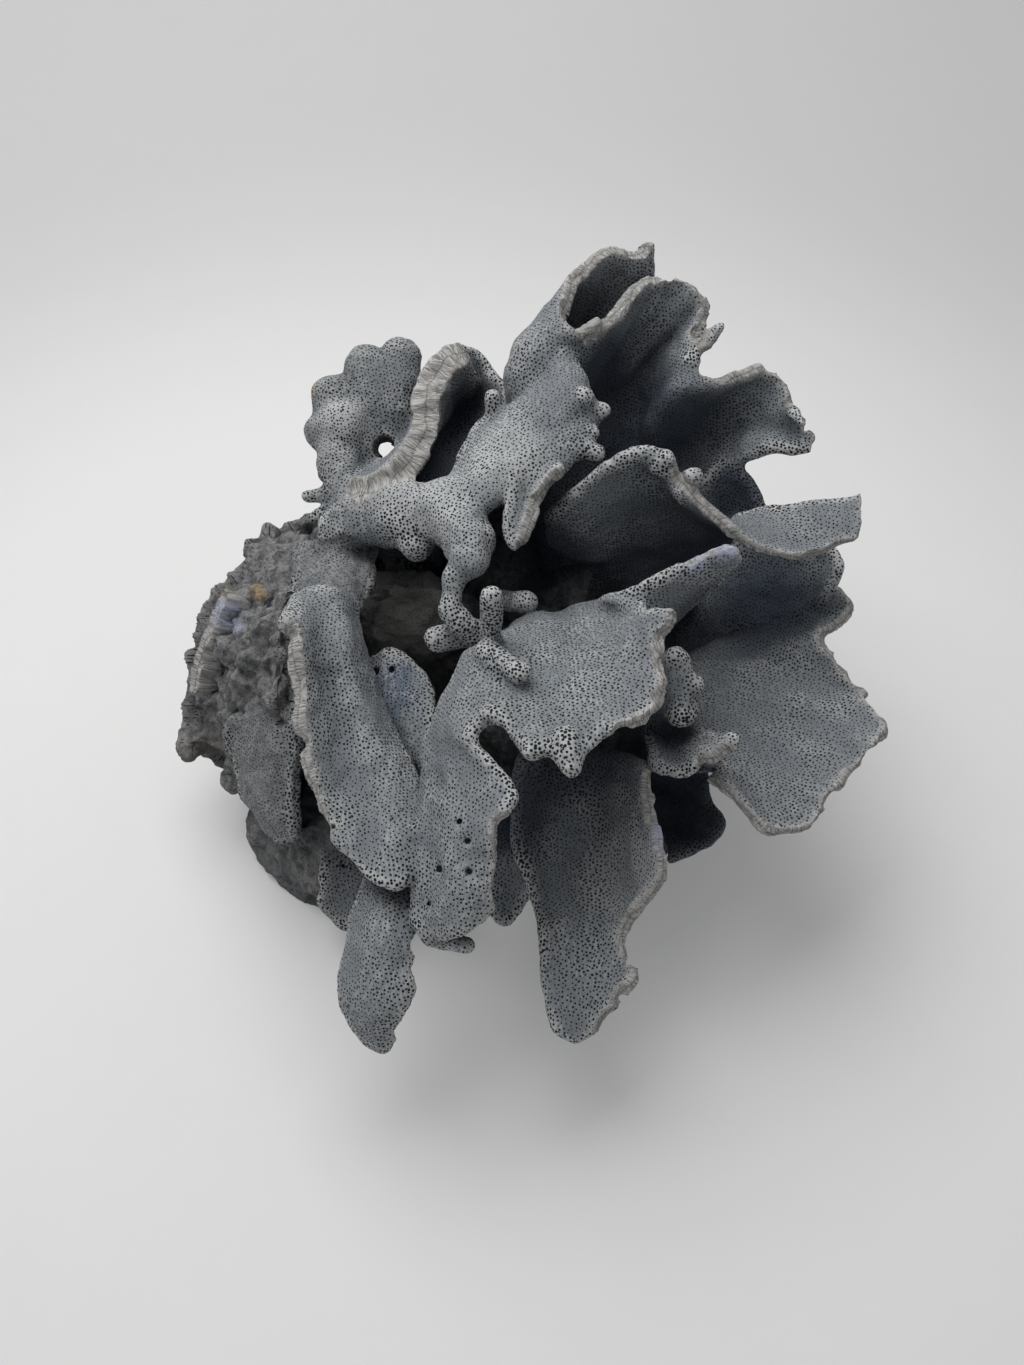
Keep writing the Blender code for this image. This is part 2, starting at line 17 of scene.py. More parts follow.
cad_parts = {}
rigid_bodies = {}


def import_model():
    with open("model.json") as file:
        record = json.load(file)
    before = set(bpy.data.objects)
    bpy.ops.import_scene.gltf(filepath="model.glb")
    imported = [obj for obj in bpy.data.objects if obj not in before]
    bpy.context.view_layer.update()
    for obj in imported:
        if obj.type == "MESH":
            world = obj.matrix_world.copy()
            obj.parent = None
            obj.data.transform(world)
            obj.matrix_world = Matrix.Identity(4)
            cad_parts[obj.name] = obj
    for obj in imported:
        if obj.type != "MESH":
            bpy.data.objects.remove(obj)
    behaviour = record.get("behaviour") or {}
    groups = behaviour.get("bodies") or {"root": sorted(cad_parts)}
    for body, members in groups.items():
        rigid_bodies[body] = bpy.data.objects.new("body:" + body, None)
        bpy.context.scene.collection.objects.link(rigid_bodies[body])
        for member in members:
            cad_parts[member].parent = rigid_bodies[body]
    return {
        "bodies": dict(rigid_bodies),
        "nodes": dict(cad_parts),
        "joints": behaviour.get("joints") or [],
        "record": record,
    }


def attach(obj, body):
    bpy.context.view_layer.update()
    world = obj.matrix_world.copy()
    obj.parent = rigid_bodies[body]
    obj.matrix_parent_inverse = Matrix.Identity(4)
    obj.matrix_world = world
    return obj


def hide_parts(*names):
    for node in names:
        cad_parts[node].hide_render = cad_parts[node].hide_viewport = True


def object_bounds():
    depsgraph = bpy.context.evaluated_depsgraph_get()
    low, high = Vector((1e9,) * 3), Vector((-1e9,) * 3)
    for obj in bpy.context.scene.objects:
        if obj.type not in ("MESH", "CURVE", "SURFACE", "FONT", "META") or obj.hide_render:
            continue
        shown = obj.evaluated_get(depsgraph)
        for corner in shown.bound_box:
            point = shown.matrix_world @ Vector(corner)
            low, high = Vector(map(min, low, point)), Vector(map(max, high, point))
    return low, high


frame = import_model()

CAD_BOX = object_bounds()

MM = 0.001
LEAN = math.radians(48)  # slope of the layout plane above the ground
PLANE_HEIGHT = 75  # height of the layout plane's middle above the cut, mm
CUT_CENTRE = (-20, 10)  # the middle of the cut, across and back from the layout's middle
CELL = 0.92  # grid cell, mm
SPREAD = 1.5  # blur of the samples, mm: it sets how softly fronds join
STEP = 0.5  # spacing of the samples on a sheet, mm
OVERHANG = 5  # how far a sheet runs on past a broken rim before it is cut, mm
NEAR = 6  # distances to a rim are read up to here, mm
PLATE = 2.15  # half the thickness of a living frond, mm
ROOT_SHARE, TAPER = 1.12, 0.3  # a sheet's thickness at its root, and what it loses to its rim
FOLDS = [(8, 26, 1.0), (4, 9, 0.35)]  # growth folds: across and up the sheet in mm, and share
CHIP, BITE, BITE_DEPTH = 1.4, 4.5, 3.4  # chips and bites in a broken rim, mm
BLEND = 1.05  # how softly pegs and lumps flow into what they touch, mm
NODE_CELL = 2.0  # cell of the grid that shares the skeleton out among the nodes, mm
MAP_GAP = 37  # how far one flat map of the skin lies from the next, mm
RIM_REACH = 7  # how far a broken rim's own thickness reaches into a sheet, mm
BEAD = 0.9  # how much a rounded rim is thickened
BEAD_REACH = 1.5  # how far that thickening reaches, mm
WIDE_PEG = 6  # pegs wider than this have the fine pores of a frond, mm
SKIN_GAP = 0.02  # how far the skin stays inside the CAD solids' box, mm
FAR = 99  # a distance that stands for no rim near, mm

FRONDS = {}


def frond(name):
    """Starts a frond: the sheets and pegs that follow belong to it."""
    FRONDS[name] = {"sheets": [], "pegs": []}


def last_frond():
    return list(FRONDS.values())[-1]


def sheet(*rows, half=PLATE, broken=(), layers=1, old=0.0):
    """Adds a sheet: rows of layout points (across, up, out) from its root to its rim.

    It has half its thickness in mm, how old its surface is, and its broken edges, each from one
    share of the edge's length to another, with the half thickness there at both ends.
    """
    last_frond()["sheets"].append(
        {"rows": rows, "half": half, "broken": broken, "layers": layers, "old": old}
    )


def peg(start, end, start_radius, end_radius):
    """Adds a tapered limb with round ends between two layout points."""
    last_frond()["pegs"].append((start, end, start_radius, end_radius))


frond("back_fan")
sheet(
    [(-14, 32, -68), (12, 30, -70), (38, 28, -72), (62, 32, -70)],
    [(26, 84, -52), (0, 86, -22), (15, 65, -38), (44, 64, -47), (68, 64, -42)],
    [(47, 131, -31), (24, 125, -25), (6, 115, -9), (2, 106, 3), (13, 95, 0), (30, 102, -26),
     (48, 112, -34), (54, 106, -22), (53, 95, -13), (66, 95, -28), (79, 91, -34), (84, 79, -26)],
    [(47, 151, -12), (44, 146, -14), (34, 147, -11), (25, 140, -6), (19, 129, 0), (18, 118, 4),
     (25, 114, 4), (31, 119, 0), (37, 128, -5), (44, 136, -10), (51, 139, -13), (60, 137, -15),
     (66, 132, -15), (65, 123, -15), (62, 114, -14), (65, 105, -13), (72, 103, -14), (80, 106, -16),
     (88, 108, -18), (95, 103, -20), (98, 93, -21), (105, 87, -22), (104, 79, -22)],
    broken=[("rim", 0, 1, 2.9, 2.1)],
)
peg((61, 110, -13), (71, 121.5, -15), 2.6, 1.7)
peg((97, 92, -18), (99, 88, -14), 2, 1.6)

frond("left_branch")
sheet(
    [(-20, 42, 20), (-15, 37, 34), (-12, 37, 35), (-9, 42, 30)],
    [(-24, 57, 10), (-17, 53, 24), (-13, 52, 27), (-9, 53, 25)],
    [(-17, 70, 8), (-7, 70, 22), (6, 67, 26), (14, 65, 20)],
    [(-9, 85, 2), (1, 84, 16), (14, 81, 18), (26, 81, 12)],
    [(4, 95, -2), (11, 96, 8), (17, 95, 12), (25, 91, 8)],
    [(11, 109, -2), (15, 109, 4), (20, 109, 2)],
    half=3,
)
sheet(
    [(1, 68, 25), (8, 67, 21), (15, 67, 25)],
    [(-0.6, 56, 29), (4, 56, 25), (9, 56, 30)],
    [(-1.2, 48, 30), (2, 48, 27), (6, 48.5, 32)],
    [(-1.2, 41, 31), (2.4, 41, 33)],
    broken=[("right", 0.05, 1, 2.8, 2.5)],
)
peg((-12.5, 44, 28), (-20, 55, 15), 7, 9.5)
peg((-20, 55, 15), (-37, 55, 5), 9.5, 10.5)
peg((-37, 55, 5), (-51, 53, 0), 10.5, 9)
peg((-50, 53, 0), (-61, 42, -3), 8.5, 6.5)
peg((-34, 50, 8), (-31, 44, 12), 6, 5)
peg((-53, 56, -2), (-60, 52, 1), 5.5, 4)
peg((20, 87, 8), (23, 91.5, 15), 3.6, 3.1)
peg((21, 87, 8), (29.5, 87, 13), 3.4, 2.5)
peg((19, 77, 14), (27, 73, 17), 4, 2.8)
peg((20, 82, 12), (26, 80, 15), 3, 2.2)
peg((-13, 43, 28), (-12, 37, 33), 6.5, 5.2)
peg((-14, 38, 33), (-17.5, 32, 33), 4.6, 2.9)
peg((-17.5, 32, 33), (-19, 22, 33), 2.8, 3.0)
peg((-19, 22, 33), (-16, 18.5, 32), 3.2, 3.8)
peg((-16, 18.5, 32), (-10.5, 16, 28), 3.8, 3.4)
peg((-11, 15, 26), (-23.5, 13.5, 24), 3.8, 3.9)
peg((-4, 85, 2), (-6, 93, 5), 3.2, 2.6)

frond("back_left_lobe")
sheet(
    [(-64, 28, -62), (-42, 32, -70), (-16, 36, -70)],
    [(-64, 42, -48), (-48, 44, -52), (-26, 46, -52)],
    [(-62, 56, -27), (-51, 57, -24), (-36, 62, -24)],
    [(-62, 73, -16), (-53, 77, -14), (-43, 77, -18), (-36, 72, -20)],
    [(-64, 89, -22), (-57, 92, -18), (-46, 96, -18), (-36, 97, -22)],
    [(-62, 101, -26), (-56, 104, -26), (-50, 108, -26), (-42, 108, -24), (-34, 110, -24)],
    half=4, layers=2, old=0.25,
)
sheet(
    [(-47, 74, -30), (-34, 86, -36), (-24, 99, -38), (-15, 106, -38)],
    [(-52, 64, 2), (-45, 63, 6), (-37, 69, 5), (-31, 78, 2), (-28.5, 88, 0), (-27.5, 99, -4),
     (-24, 108, -9), (-16, 112, -13)],
    half=5.2, layers=3, broken=[("rim", 0, 1, 5.2, 5.2)],
)
sheet(
    [(-36, 62, -10), (-24, 59, -17), (-12, 64, -14), (-2, 78, -10)],
    [(-28, 92, -33), (-19, 95, -38), (-11, 96, -36), (-3, 96, -24)],
    [(-26, 112, -24), (-19, 117, -26), (-12, 116, -27), (-7, 109, -27), (-1, 102, -24)],
)
peg((-50, 94, -22), (-50.5, 110, -21), 10, 6.6)
peg((-42, 95, -22), (-38, 112.5, -22), 9.5, 7)
peg((-46, 92, -22), (-45, 103, -22), 9, 7.5)
peg((-56, 92, -20), (-61, 98, -18), 9.5, 8)
peg((-60, 92, -20), (-65, 86, -17), 8, 6.5)
peg((-54, 84, -18), (-57, 87, -13), 9.5, 8.8)
peg((-60, 80, -14), (-59, 72, -9), 6.5, 6)
peg((-58, 74, -10), (-55, 63, -3), 6.5, 6)
peg((-58, 63.5, -6), (-68, 62, -5), 3.2, 2.2)
peg((-58, 58, -5), (-66.5, 55, -3), 2.9, 1.9)

frond("right_upper_frond")
sheet(
    [(11, 54, 10), (13, 47, -5)],
    [(21, 62, 18), (25, 50, 4), (30, 38, -20)],
    [(35, 71, 23), (38, 56, 4), (43, 38, -22)],
    [(45, 73, 22), (50, 54, 2), (55, 39, -24)],
    [(53, 64, 22), (60, 52, 2), (66, 42, -22)],
    [(62, 54, 24), (67, 52, 6), (76, 50, -16)],
    [(73, 44, 23), (76, 49, 11), (78, 56, -6)],
    [(90, 38, 24), (92, 47, 15), (93, 58, 8)],
    [(103, 43, 20), (106, 50, 16), (107, 59, 12)],
    [(110, 45, 18), (112, 53, 15), (113, 62, 12)],
    broken=[("left", 0.42, 1, 2.0, 1.6), ("rim", 0, 1, 1.6, 1.5)],
)
sheet(
    [(30, 38, -20), (43, 38, -22), (55, 39, -24), (66, 42, -22)],
    [(25, 22, -50), (40, 20, -52), (55, 20, -52), (64, 24, -50)],
)
peg((54, 60, 19), (57.5, 65, 24), 3.4, 2.4)
peg((46, 68, 22), (48, 70, 24), 3, 2.6)

frond("right_inner_frond")
sheet(
    [(48, 12, -66), (52, 2, -58), (56, -8, -50)],
    [(62, 34, -52), (68, 24, -45), (77, 15, -30)],
    [(68, 55, -45), (80, 51, -38), (89, 40, -32), (92, 20, -24)],
    [(68, 71, -32), (78, 77, -30), (86, 67, -28), (91, 56, -24), (101, 50, -14), (108, 44, -8),
     (109, 37, -6), (103, 22, -8)],
)

frond("right_fan")
sheet(
    [(50, -2, -50), (42, -14, -38), (38, -28, -25)],
    [(78, 15, -28), (65, 8, -24), (56, -6, -8), (52, -19, 5), (53, -28, 18)],
    [(93, 21, -16), (86, 8, -8), (84, -8, 4), (79, -21, 14), (66, -27, 21)],
    [(104, 30, -2), (109, 31, -2), (114, 26, -1), (108, 20, 2), (103, 14, 5), (106, 7, 8),
     (110, 1, 10), (115, -3, 12), (112, -6, 16), (117, -10, 20), (118, -15, 24), (114, -20, 27),
     (106, -27, 30), (101, -32, 32), (97, -38, 34), (92, -44, 36), (85, -46, 38), (76, -44, 38),
     (70, -39, 36), (66, -34, 34), (59, -31, 30)],
    broken=[("rim", 0.05, 1, 2.0, 1.7)],
)
sheet(
    [(42, -16, 12), (50, -18, 14), (56, -16, 12)],
    [(43, -5, 24), (50, -6, 31), (56, -5, 27)],
    [(46, 6, 28), (50, 8, 33), (53, 5, 31)],
)
sheet(
    [(42, -14, 16), (50, -15, 18), (57, -14, 18)],
    [(44, -25, 35), (52, -28, 38), (57, -25, 39), (61, -22, 41), (65, -19, 43)],
    broken=[("rim", 0.45, 1, 1.8, 2.2)],
)
peg((50, 6, 32), (53, -9, 33), 4.2, 4.6)
peg((49, 3, 30), (50, 8, 35), 3.4, 2.8)
peg((52, -2, 30), (55.5, -1, 35), 3.4, 2.8)
peg((50, -8, 30), (52, -10, 36), 3.4, 3)
peg((60, -21, 38), (66, -17.5, 42), 2.6, 2.4)

frond("centre_frond")
sheet(
    [(0, 5, -5), (15, 8, -10), (30, 10, -10)],
    [(-10, 8, 38), (1, 17, 24), (17, 22, 14), (30, 25, 12), (39, 27, 18)],
    [(-8, -2, 56), (4, 3, 52), (17, 5, 50), (29, 9, 50), (39, 21, 50)],
    [(-7, -9, 66), (-1, -11, 70), (2, -16, 72), (6, -19, 75), (12, -20, 78), (16, -23, 80),
     (21, -18, 78), (26, -14, 76), (31, -13, 75), (36, -11, 74), (41, -7, 71), (43, -1, 68),
     (43, 6, 65), (45, 13, 62), (47, 20, 60)],
    broken=[("rim", 0.52, 1, 2.1, 2.6)],
)
sheet(
    [(26, 26, 22), (36, 22, 38), (42, 14, 34)],
    [(39, 29.5, 37), (44, 25, 34), (48, 17, 20)],
    [(50, 35.5, 40), (54, 31, 34), (56, 24, 18)],
    [(62, 40.5, 41), (65, 37, 35), (62, 30, 22)],
    [(70, 39.5, 42), (70, 37.5, 38), (66, 33, 28)],
    broken=[("left", 0.55, 1, 2.1, 1.9), ("rim", 0, 0.5, 1.9, 1.7)],
)
peg((-6, 11, 42), (-6, 25, 60), 3.6, 3.2)
peg((-7, 9, 52), (2, 3, 62), 3.8, 3.2)
peg((15, -16, 76), (16, -23, 81), 4.2, 3.2)
peg((-3, 26, 12), (5, 26, 22), 3.6, 3.4)
peg((5, -16, 72), (5, -19, 76), 3.2, 2.8)

frond("front_ridge_frond")
sheet(
    [(-13, 9, 36), (-8, 9, 46), (-2, 7, 52)],
    [(-18, -2, 45), (-12, -2, 56), (-4, -7, 63)],
    [(-24, -16, 46), (-17, -15, 60), (-11, -16, 67)],
    [(-26, -28, 46), (-16, -28, 63), (-7, -24, 68), (1, -30, 74)],
    [(-26, -41, 50), (-18, -42, 66), (-9, -41, 72), (-4, -39, 76)],
    [(-27, -55, 54), (-19, -56, 68), (-10, -55, 74), (-4, -51, 75)],
    [(-28, -70, 56), (-20, -72, 67), (-13, -69, 72), (-6, -65, 72)],
    broken=[("right", 0.62, 0.98, 1.9, 1.7)],
)
peg((-23, -73, 60), (-13, -75, 64), 2.8, 2.6)
peg((-28, -44, 54), (-28, -52, 56), 3, 3)

frond("front_left_frond")
sheet(
    [(-67, 25, 22), (-58, 29, 26), (-51, 23, 18)],
    [(-66, 15, 45), (-59, 13, 36), (-51, 13, 34), (-47, 8, 20)],
    [(-64, 1, 47), (-57, -2, 37), (-48, -2, 37), (-42, -6, 24)],
    [(-63, -14, 49), (-53, -17, 41), (-43, -17, 41), (-36, -20, 31)],
    [(-60, -29, 51), (-50, -32, 46), (-38, -32, 47), (-28, -31, 40)],
    [(-53, -45, 54), (-44, -43, 53), (-34, -44, 56), (-27, -42, 48)],
    [(-49, -48, 55), (-41, -56, 59), (-32, -59, 62), (-27, -53, 55)],
    broken=[("left", 0.14, 0.86, 4.2, 2.0)],
)

frond("front_left_tongue")
sheet(
    [(-42, -56, 40), (-35, -57, 46), (-28, -58, 48)],
    [(-48, -74, 46), (-38, -70, 57), (-29, -73, 54)],
    [(-50, -85, 48), (-39, -83, 59), (-28, -81, 56)],
    [(-50, -95, 49), (-40, -94, 59), (-28, -90, 58)],
    [(-45, -103, 50), (-38, -103, 55), (-33, -98, 55)],
    [(-39, -108, 50), (-36, -110, 51), (-34, -106, 52)],
    broken=[("right", 0.2, 1, 1.9, 1.7)],
)

frond("front_fan")
sheet(
    [(5, -32, -16), (20, -32, -16), (36, -30, -14)],
    [(3, -21, 0), (16, -21, 5), (28, -22, 12), (41, -26, 26)],
    [(1, -38, 12), (13, -38, 11), (30, -37, 16), (41, -34, 38)],
    [(1, -53, 18), (13, -53, 17), (32, -54, 25), (45, -49, 48)],
    [(7, -67, 28), (17, -64, 28), (33, -65, 31), (44, -61, 50)],
    [(9, -78, 37), (17, -74, 38), (27, -75, 38), (32, -75, 47)],
    [(10, -89, 43), (18, -86, 44), (27, -84, 47), (37, -84, 54)],
    [(11, -99, 48), (18, -96, 48), (26, -94, 51), (32, -92, 56)],
    [(14, -104, 50), (19, -106, 51), (23, -103, 53)],
    broken=[("right", 0.15, 1, 2.0, 1.8)],
)

frond("low_right_frond")
sheet(
    [(36, -28, -30), (38, -42, -28), (34, -54, -26)],
    [(55, -29, -18), (58, -44, -18), (53, -54, -16)],
    [(66, -29, -14), (67, -41, -13), (72, -47, -12), (68, -54, -12), (61, -57, -10), (52, -61, -9)],
    half=2.8, old=0.3,
)

frond("low_left_frond")
sheet(
    [(-48, -42, -14), (-42, -50, -10), (-38, -58, -8)],
    [(-65, -55, -8), (-63, -64, -7), (-65, -71, -8), (-64, -76, -8), (-59, -80, -6), (-55, -82, -4),
     (-50, -74, -2)],
    half=2.8, old=0.3,
)

frond("low_front_frond")
sheet(
    [(-6, -28, -16), (2, -28, -16), (10, -28, -14)],
    [(-8, -50, 2), (0, -52, 4), (8, -50, 2)],
    [(-8, -72, 16), (-4, -77, 17), (0, -77, 17), (3, -70, 17), (7, -66, 15), (8, -58, 8)],
    half=2.8,
)

frond("inner_lobe")
sheet(
    [(-45, -24, -24), (-38, -28, -22), (-32, -30, -20)],
    [(-44, -21, 7), (-34, -28, 14), (-25, -28, 25)],
    [(-49, -6, 8), (-37, -7, 17), (-25, -14, 22)],
    [(-51, 3, 2), (-45, 9, 3), (-38, 10, 4), (-32, 6, 7), (-26, -2, 12), (-24, -9, 18)],
    half=3.2,
)

frond("left_wall")
sheet(
    [(-84, 52, -40), (-74, 48, -25), (-61, 42, -10)],
    [(-98, 34, -28), (-86, 34, -10), (-70, 29, 6)],
    [(-110, 12, -32), (-92, 11, -6), (-73, 11, 14)],
    [(-113, -8, -36), (-93, -10, -10), (-73, -10, 10)],
    [(-110, -22, -44), (-93, -28, -22), (-73, -26, 2)],
    [(-96, -35, -46), (-85, -42, -28), (-71, -43, -10)],
    [(-82, -48, -30), (-78, -51, -26), (-72, -50, -18)],
    half=5, layers=3, old=0.9,
)
sheet(
    [(-72, 46, -16), (-60, 48, -12), (-47, 46, -8)],
    [(-70, 34, 6), (-58, 37, 10), (-47, 33, 5)],
    [(-68, 22, 22), (-58, 26, 24), (-50, 22, 17)],
    half=3.4, layers=2, old=0.5,
)
sheet(
    [(-84, 32, -34), (-94, 14, -42), (-100, -4, -46)],
    [(-95, 30, -13), (-104, 14, -19), (-110, -3, -24)],
    half=3.2, layers=2, broken=[("rim", 0, 1, 3.4, 3.2)], old=0.6,
)
sheet(
    [(-90, 8, -10), (-80, 6, 2), (-70, 5, 8)],
    [(-92, -12, -10), (-81, -15, 4), (-69, -17, 10)],
    [(-91, -34, -13), (-82, -39, 1), (-71, -41, 7)],
    [(-85, -44, -13), (-78, -52, -6), (-71, -51, 0)],
    half=3.4, layers=2, old=0.45,
)
sheet(
    [(-84, 38, -32), (-74, 36, -28), (-62, 36, -30)],
    [(-84, 52, -42), (-78, 58, -44), (-71, 61, -45), (-63, 61, -46)],
    half=3.2, layers=2, old=0.9,
)
sheet(
    [(-92, 36, -54), (-76, 38, -54)],
    [(-96, 46, -40), (-91, 54, -37), (-85, 54, -37), (-78, 47, -38)],
    half=3, old=0.8,
)
peg((-93, -10, -12), (-97, -32, -30), 9, 7)
peg((-100, -12, -34), (-108, -21, -37), 8, 6.5)
peg((-86, 40, -22), (-80, 44, -20), 6, 5)
peg((-84, 12, -2), (-80, 20, 6), 6, 4)
peg((-98, -18, -30), (-112, -21, -31), 8.5, 7)

# The holdfast is a mound of rounded lumps: centre across, back and up from the cut, radii.
LUMPS = [
    ((-20, 20, 6), (72, 52, 34)),
    ((28, 15, 8), (42, 44, 34)),
    ((8, -4, 48), (24, 18, 38)),
    ((-72, 18, 18), (30, 34, 36)),
    ((-80, 26, 34), (22, 30, 32)),
    ((-36, 70, 18), (48, 28, 30)),
    ((-38, 46, 50), (32, 20, 34)),
    ((34, 60, 25), (44, 26, 42)),
    ((-8, 74, 36), (22, 20, 58)),
    ((0, 62, 14), (40, 30, 36)),
    ((-62, 46, 18), (36, 36, 38)),
    ((34, 38, 14), (46, 34, 40)),
    ((-58, -8, 16), (36, 36, 36)),
    ((-30, -38, 34), (15, 15, 42)),
]


def on_plane(points):
    """Turns layout points into places in the part's frame, in mm."""
    across, up, out = np.asarray(points, float).T
    back = up * math.sin(LEAN) - out * math.cos(LEAN)
    height = PLANE_HEIGHT + up * math.cos(LEAN) + out * math.sin(LEAN)
    return np.stack([across - CUT_CENTRE[0], back - CUT_CENTRE[1], height], -1)


def curve_weights(count, samples):
    """Weights that run a smooth curve of so many samples through so many points."""
    place = np.linspace(0, count - 1, samples)
    i = np.minimum(place.astype(int), count - 2)
    t = place - i
    weights = np.zeros((samples, count + 2))
    rows = np.arange(samples)
    weights[rows, i] = (-t + 2 * t**2 - t**3) / 2
    weights[rows, i + 1] = (2 - 5 * t**2 + 3 * t**3) / 2
    weights[rows, i + 2] = (t + 4 * t**2 - 3 * t**3) / 2
    weights[rows, i + 3] = (t**3 - t**2) / 2
    inner = weights[:, 1:-1].copy()
    inner[:, 0] += 2 * weights[:, 0]
    inner[:, 1] -= weights[:, 0]
    inner[:, -1] += 2 * weights[:, -1]
    inner[:, -2] -= weights[:, -1]
    return inner


def length(vectors):
    return np.linalg.norm(vectors, axis=-1)


def unit(vectors):
    return vectors / np.maximum(length(vectors), 1e-9)[..., None]


def sheet_grid(rows):
    """Samples a sheet about every STEP both ways: an array of lines of points."""
    rows = [on_plane(row) for row in rows]
    widest = max(length(np.diff(row, axis=0)).sum() for row in rows)
    middles = np.array([row.mean(0) for row in rows])
    tallest = length(np.diff(middles, axis=0)).sum()
    across = max(12, int(widest * 1.15 / STEP))
    along = max(12, int(tallest * 1.15 / STEP))
    lines = np.stack([curve_weights(len(row), across) @ row for row in rows])
    return np.einsum("ab,bcd->acd", curve_weights(len(rows), along), lines)


def turned(grid, edge):
    """Turns a grid so that the named edge is its last line."""
    if edge in ("left", "right"):
        grid = np.swapaxes(grid, 0, 1)
    return grid[::-1] if edge in ("left", "root") else grid


def turned_back(grid, edge):
    grid = grid[::-1] if edge in ("left", "root") else grid
    return np.swapaxes(grid, 0, 1) if edge in ("left", "right") else grid


def from_edge(grid, edge):
    """How far each sample is from an edge, in mm along the sheet."""
    lines = turned(grid, edge)
    steps = length(np.diff(lines, axis=0))
    away = np.zeros(lines.shape[:2])
    away[:-1] = np.cumsum(steps[::-1], 0)[::-1]
    return turned_back(away, edge)


def broken_part(grid, edge, start, end):
    """Marks the samples along an edge that lie between two shares of its length."""
    share = np.linspace(0, 1, turned(grid, edge).shape[1])
    return (share >= start) & (share <= end)


def overhang(grid, area, edge, mask):
    """Samples that carry a sheet on past a broken edge: places, areas and distances."""
    lines, sizes = turned(grid, edge), turned(area, edge)
    rim = lines[-1][mask]
    direction = unit(lines[-1] - lines[-5])[mask]
    pace = np.maximum(length(lines[-1] - lines[-2])[mask], 1e-6)
    width = sizes[-2][mask] / pace
    reach = np.arange(1, int(OVERHANG / STEP) + 1) * STEP
    places = rim[None] + direction[None] * reach[:, None, None]
    areas = np.broadcast_to(width * STEP, places.shape[:2])
    past = np.broadcast_to(reach[:, None], places.shape[:2])
    return places.reshape(-1, 3), areas.ravel(), past.ravel()


def gain(half):
    """The weight of a sheet's square millimetre that makes the sheet this thick."""
    return math.sqrt(2 * math.pi) * SPREAD * np.exp(half**2 / (2 * SPREAD**2))


def ruffled(grid, old):
    """Adds the small folds of growth: they run up the sheet and deepen towards its rim."""
    cross = np.cross(np.gradient(grid, axis=1), np.gradient(grid, axis=0))
    across = np.cumsum(length(np.gradient(grid, axis=1)), axis=1)
    lane = across - across.mean(1)[:, None] + 500
    along = from_edge(grid, "root")
    share = along / max(along.max(), 1)
    fold = np.zeros(lane.shape)
    for i, (width, height, amount) in enumerate(FOLDS):
        place = np.stack([lane / width, along / height, np.full(lane.shape, grid[0, 0, i])], -1)
        fold += amount * noise_at(place.reshape(-1, 3), 1, 31 + i).reshape(lane.shape)
    depth = (0.5 + 1.1 * share) * (1 - 0.5 * old)
    return grid + unit(cross) * (fold * depth)[..., None]


def sheet_edges(design, grid):
    """A sheet's half thickness, how far it is past its broken edges, and those edges."""
    full, root = design["half"], from_edge(grid, "root")
    half = min(full, PLATE) * (ROOT_SHARE - TAPER * (root / max(root.max(), 1)))
    past = np.full(half.shape, -float(NEAR))
    edges = []
    for edge, start, end, first_half, last_half in design["broken"]:
        mask = broken_part(grid, edge, start, end)
        at_edge = np.interp(np.linspace(0, 1, len(mask)), (start, end), (first_half, last_half))
        at_edge = np.minimum(at_edge, full) if design["layers"] > 1 else at_edge
        edges.append((edge, mask, at_edge))
        spread = (slice(None), None) if edge in ("left", "right") else (None, slice(None))
        away = from_edge(grid, edge)
        if design["layers"] == 1:
            half = half + (at_edge[spread] - half) * np.exp(-away / RIM_REACH)
        past = np.maximum(past, np.where(mask[spread], -np.minimum(away, NEAR), -NEAR))
    return half, past, edges


def sheet_guide(grid, free, past, old):
    """What the skin over a sheet needs to know about it, at every second sample."""
    across, up = np.gradient(grid, axis=1), np.gradient(grid, axis=0)
    lane = np.cumsum(length(across), axis=1)
    torn = np.where(past > -NEAR, -past, NEAR)
    sides = np.minimum(from_edge(grid, "left"), from_edge(grid, "right"))
    guide = {
        "place": grid,
        "normal": unit(np.cross(across, up)),
        "flow": unit(up),
        "rounded": np.where(torn < free + 0.5, FAR, free),
        "torn": torn,
        "lane": lane - lane.mean(1)[:, None],
        "along": from_edge(grid, "root"),
        "sideways": (sides < from_edge(grid, "rim")).astype(float),
        "old": np.full(torn.shape, float(old)),
    }
    thin = {key: value[::2, ::2] for key, value in guide.items()}
    return {key: value.reshape(-1, *value.shape[2:]) for key, value in thin.items()}


def sample_sheet(design):
    """Lays samples over a sheet and past its broken edges, and makes its guide."""
    grid = ruffled(sheet_grid(design["rows"]), design["old"])
    cross = np.cross(np.gradient(grid, axis=1), np.gradient(grid, axis=0))
    area, normal = length(cross), unit(cross)
    free = np.min([from_edge(grid, edge) for edge in ("rim", "left", "right")], axis=0)
    half, past, edges = sheet_edges(design, grid)
    bead = np.where(past > -NEAR, 0, BEAD * np.exp(-free / BEAD_REACH))
    weight = area * gain(half) * (1 + bead)
    full, layers = design["half"], design["layers"]
    parts = []
    for offset in np.linspace(-1, 1, layers) if layers > 1 else [0.0]:
        layer = grid + normal * offset * (full - PLATE)
        parts.append((layer.reshape(-1, 3), weight.ravel(), past.ravel()))
        for edge, mask, at_edge in edges:
            places, areas, beyond = overhang(layer, area, edge, mask)
            thick = at_edge[mask] if layers == 1 else min(full, PLATE)
            parts.append((places, areas * np.resize(gain(thick), len(areas)), beyond))
    samples = dict(zip(("place", "weight", "past"), map(np.concatenate, zip(*parts))))
    return samples, sheet_guide(grid, free, past, design["old"])


def corner_shares(part):
    """Each corner of a cell, with its share in places that lie at these parts of the cell."""
    for corner in np.ndindex(2, 2, 2):
        yield np.array(corner), np.prod(np.where(corner, part, 1 - part), axis=1)


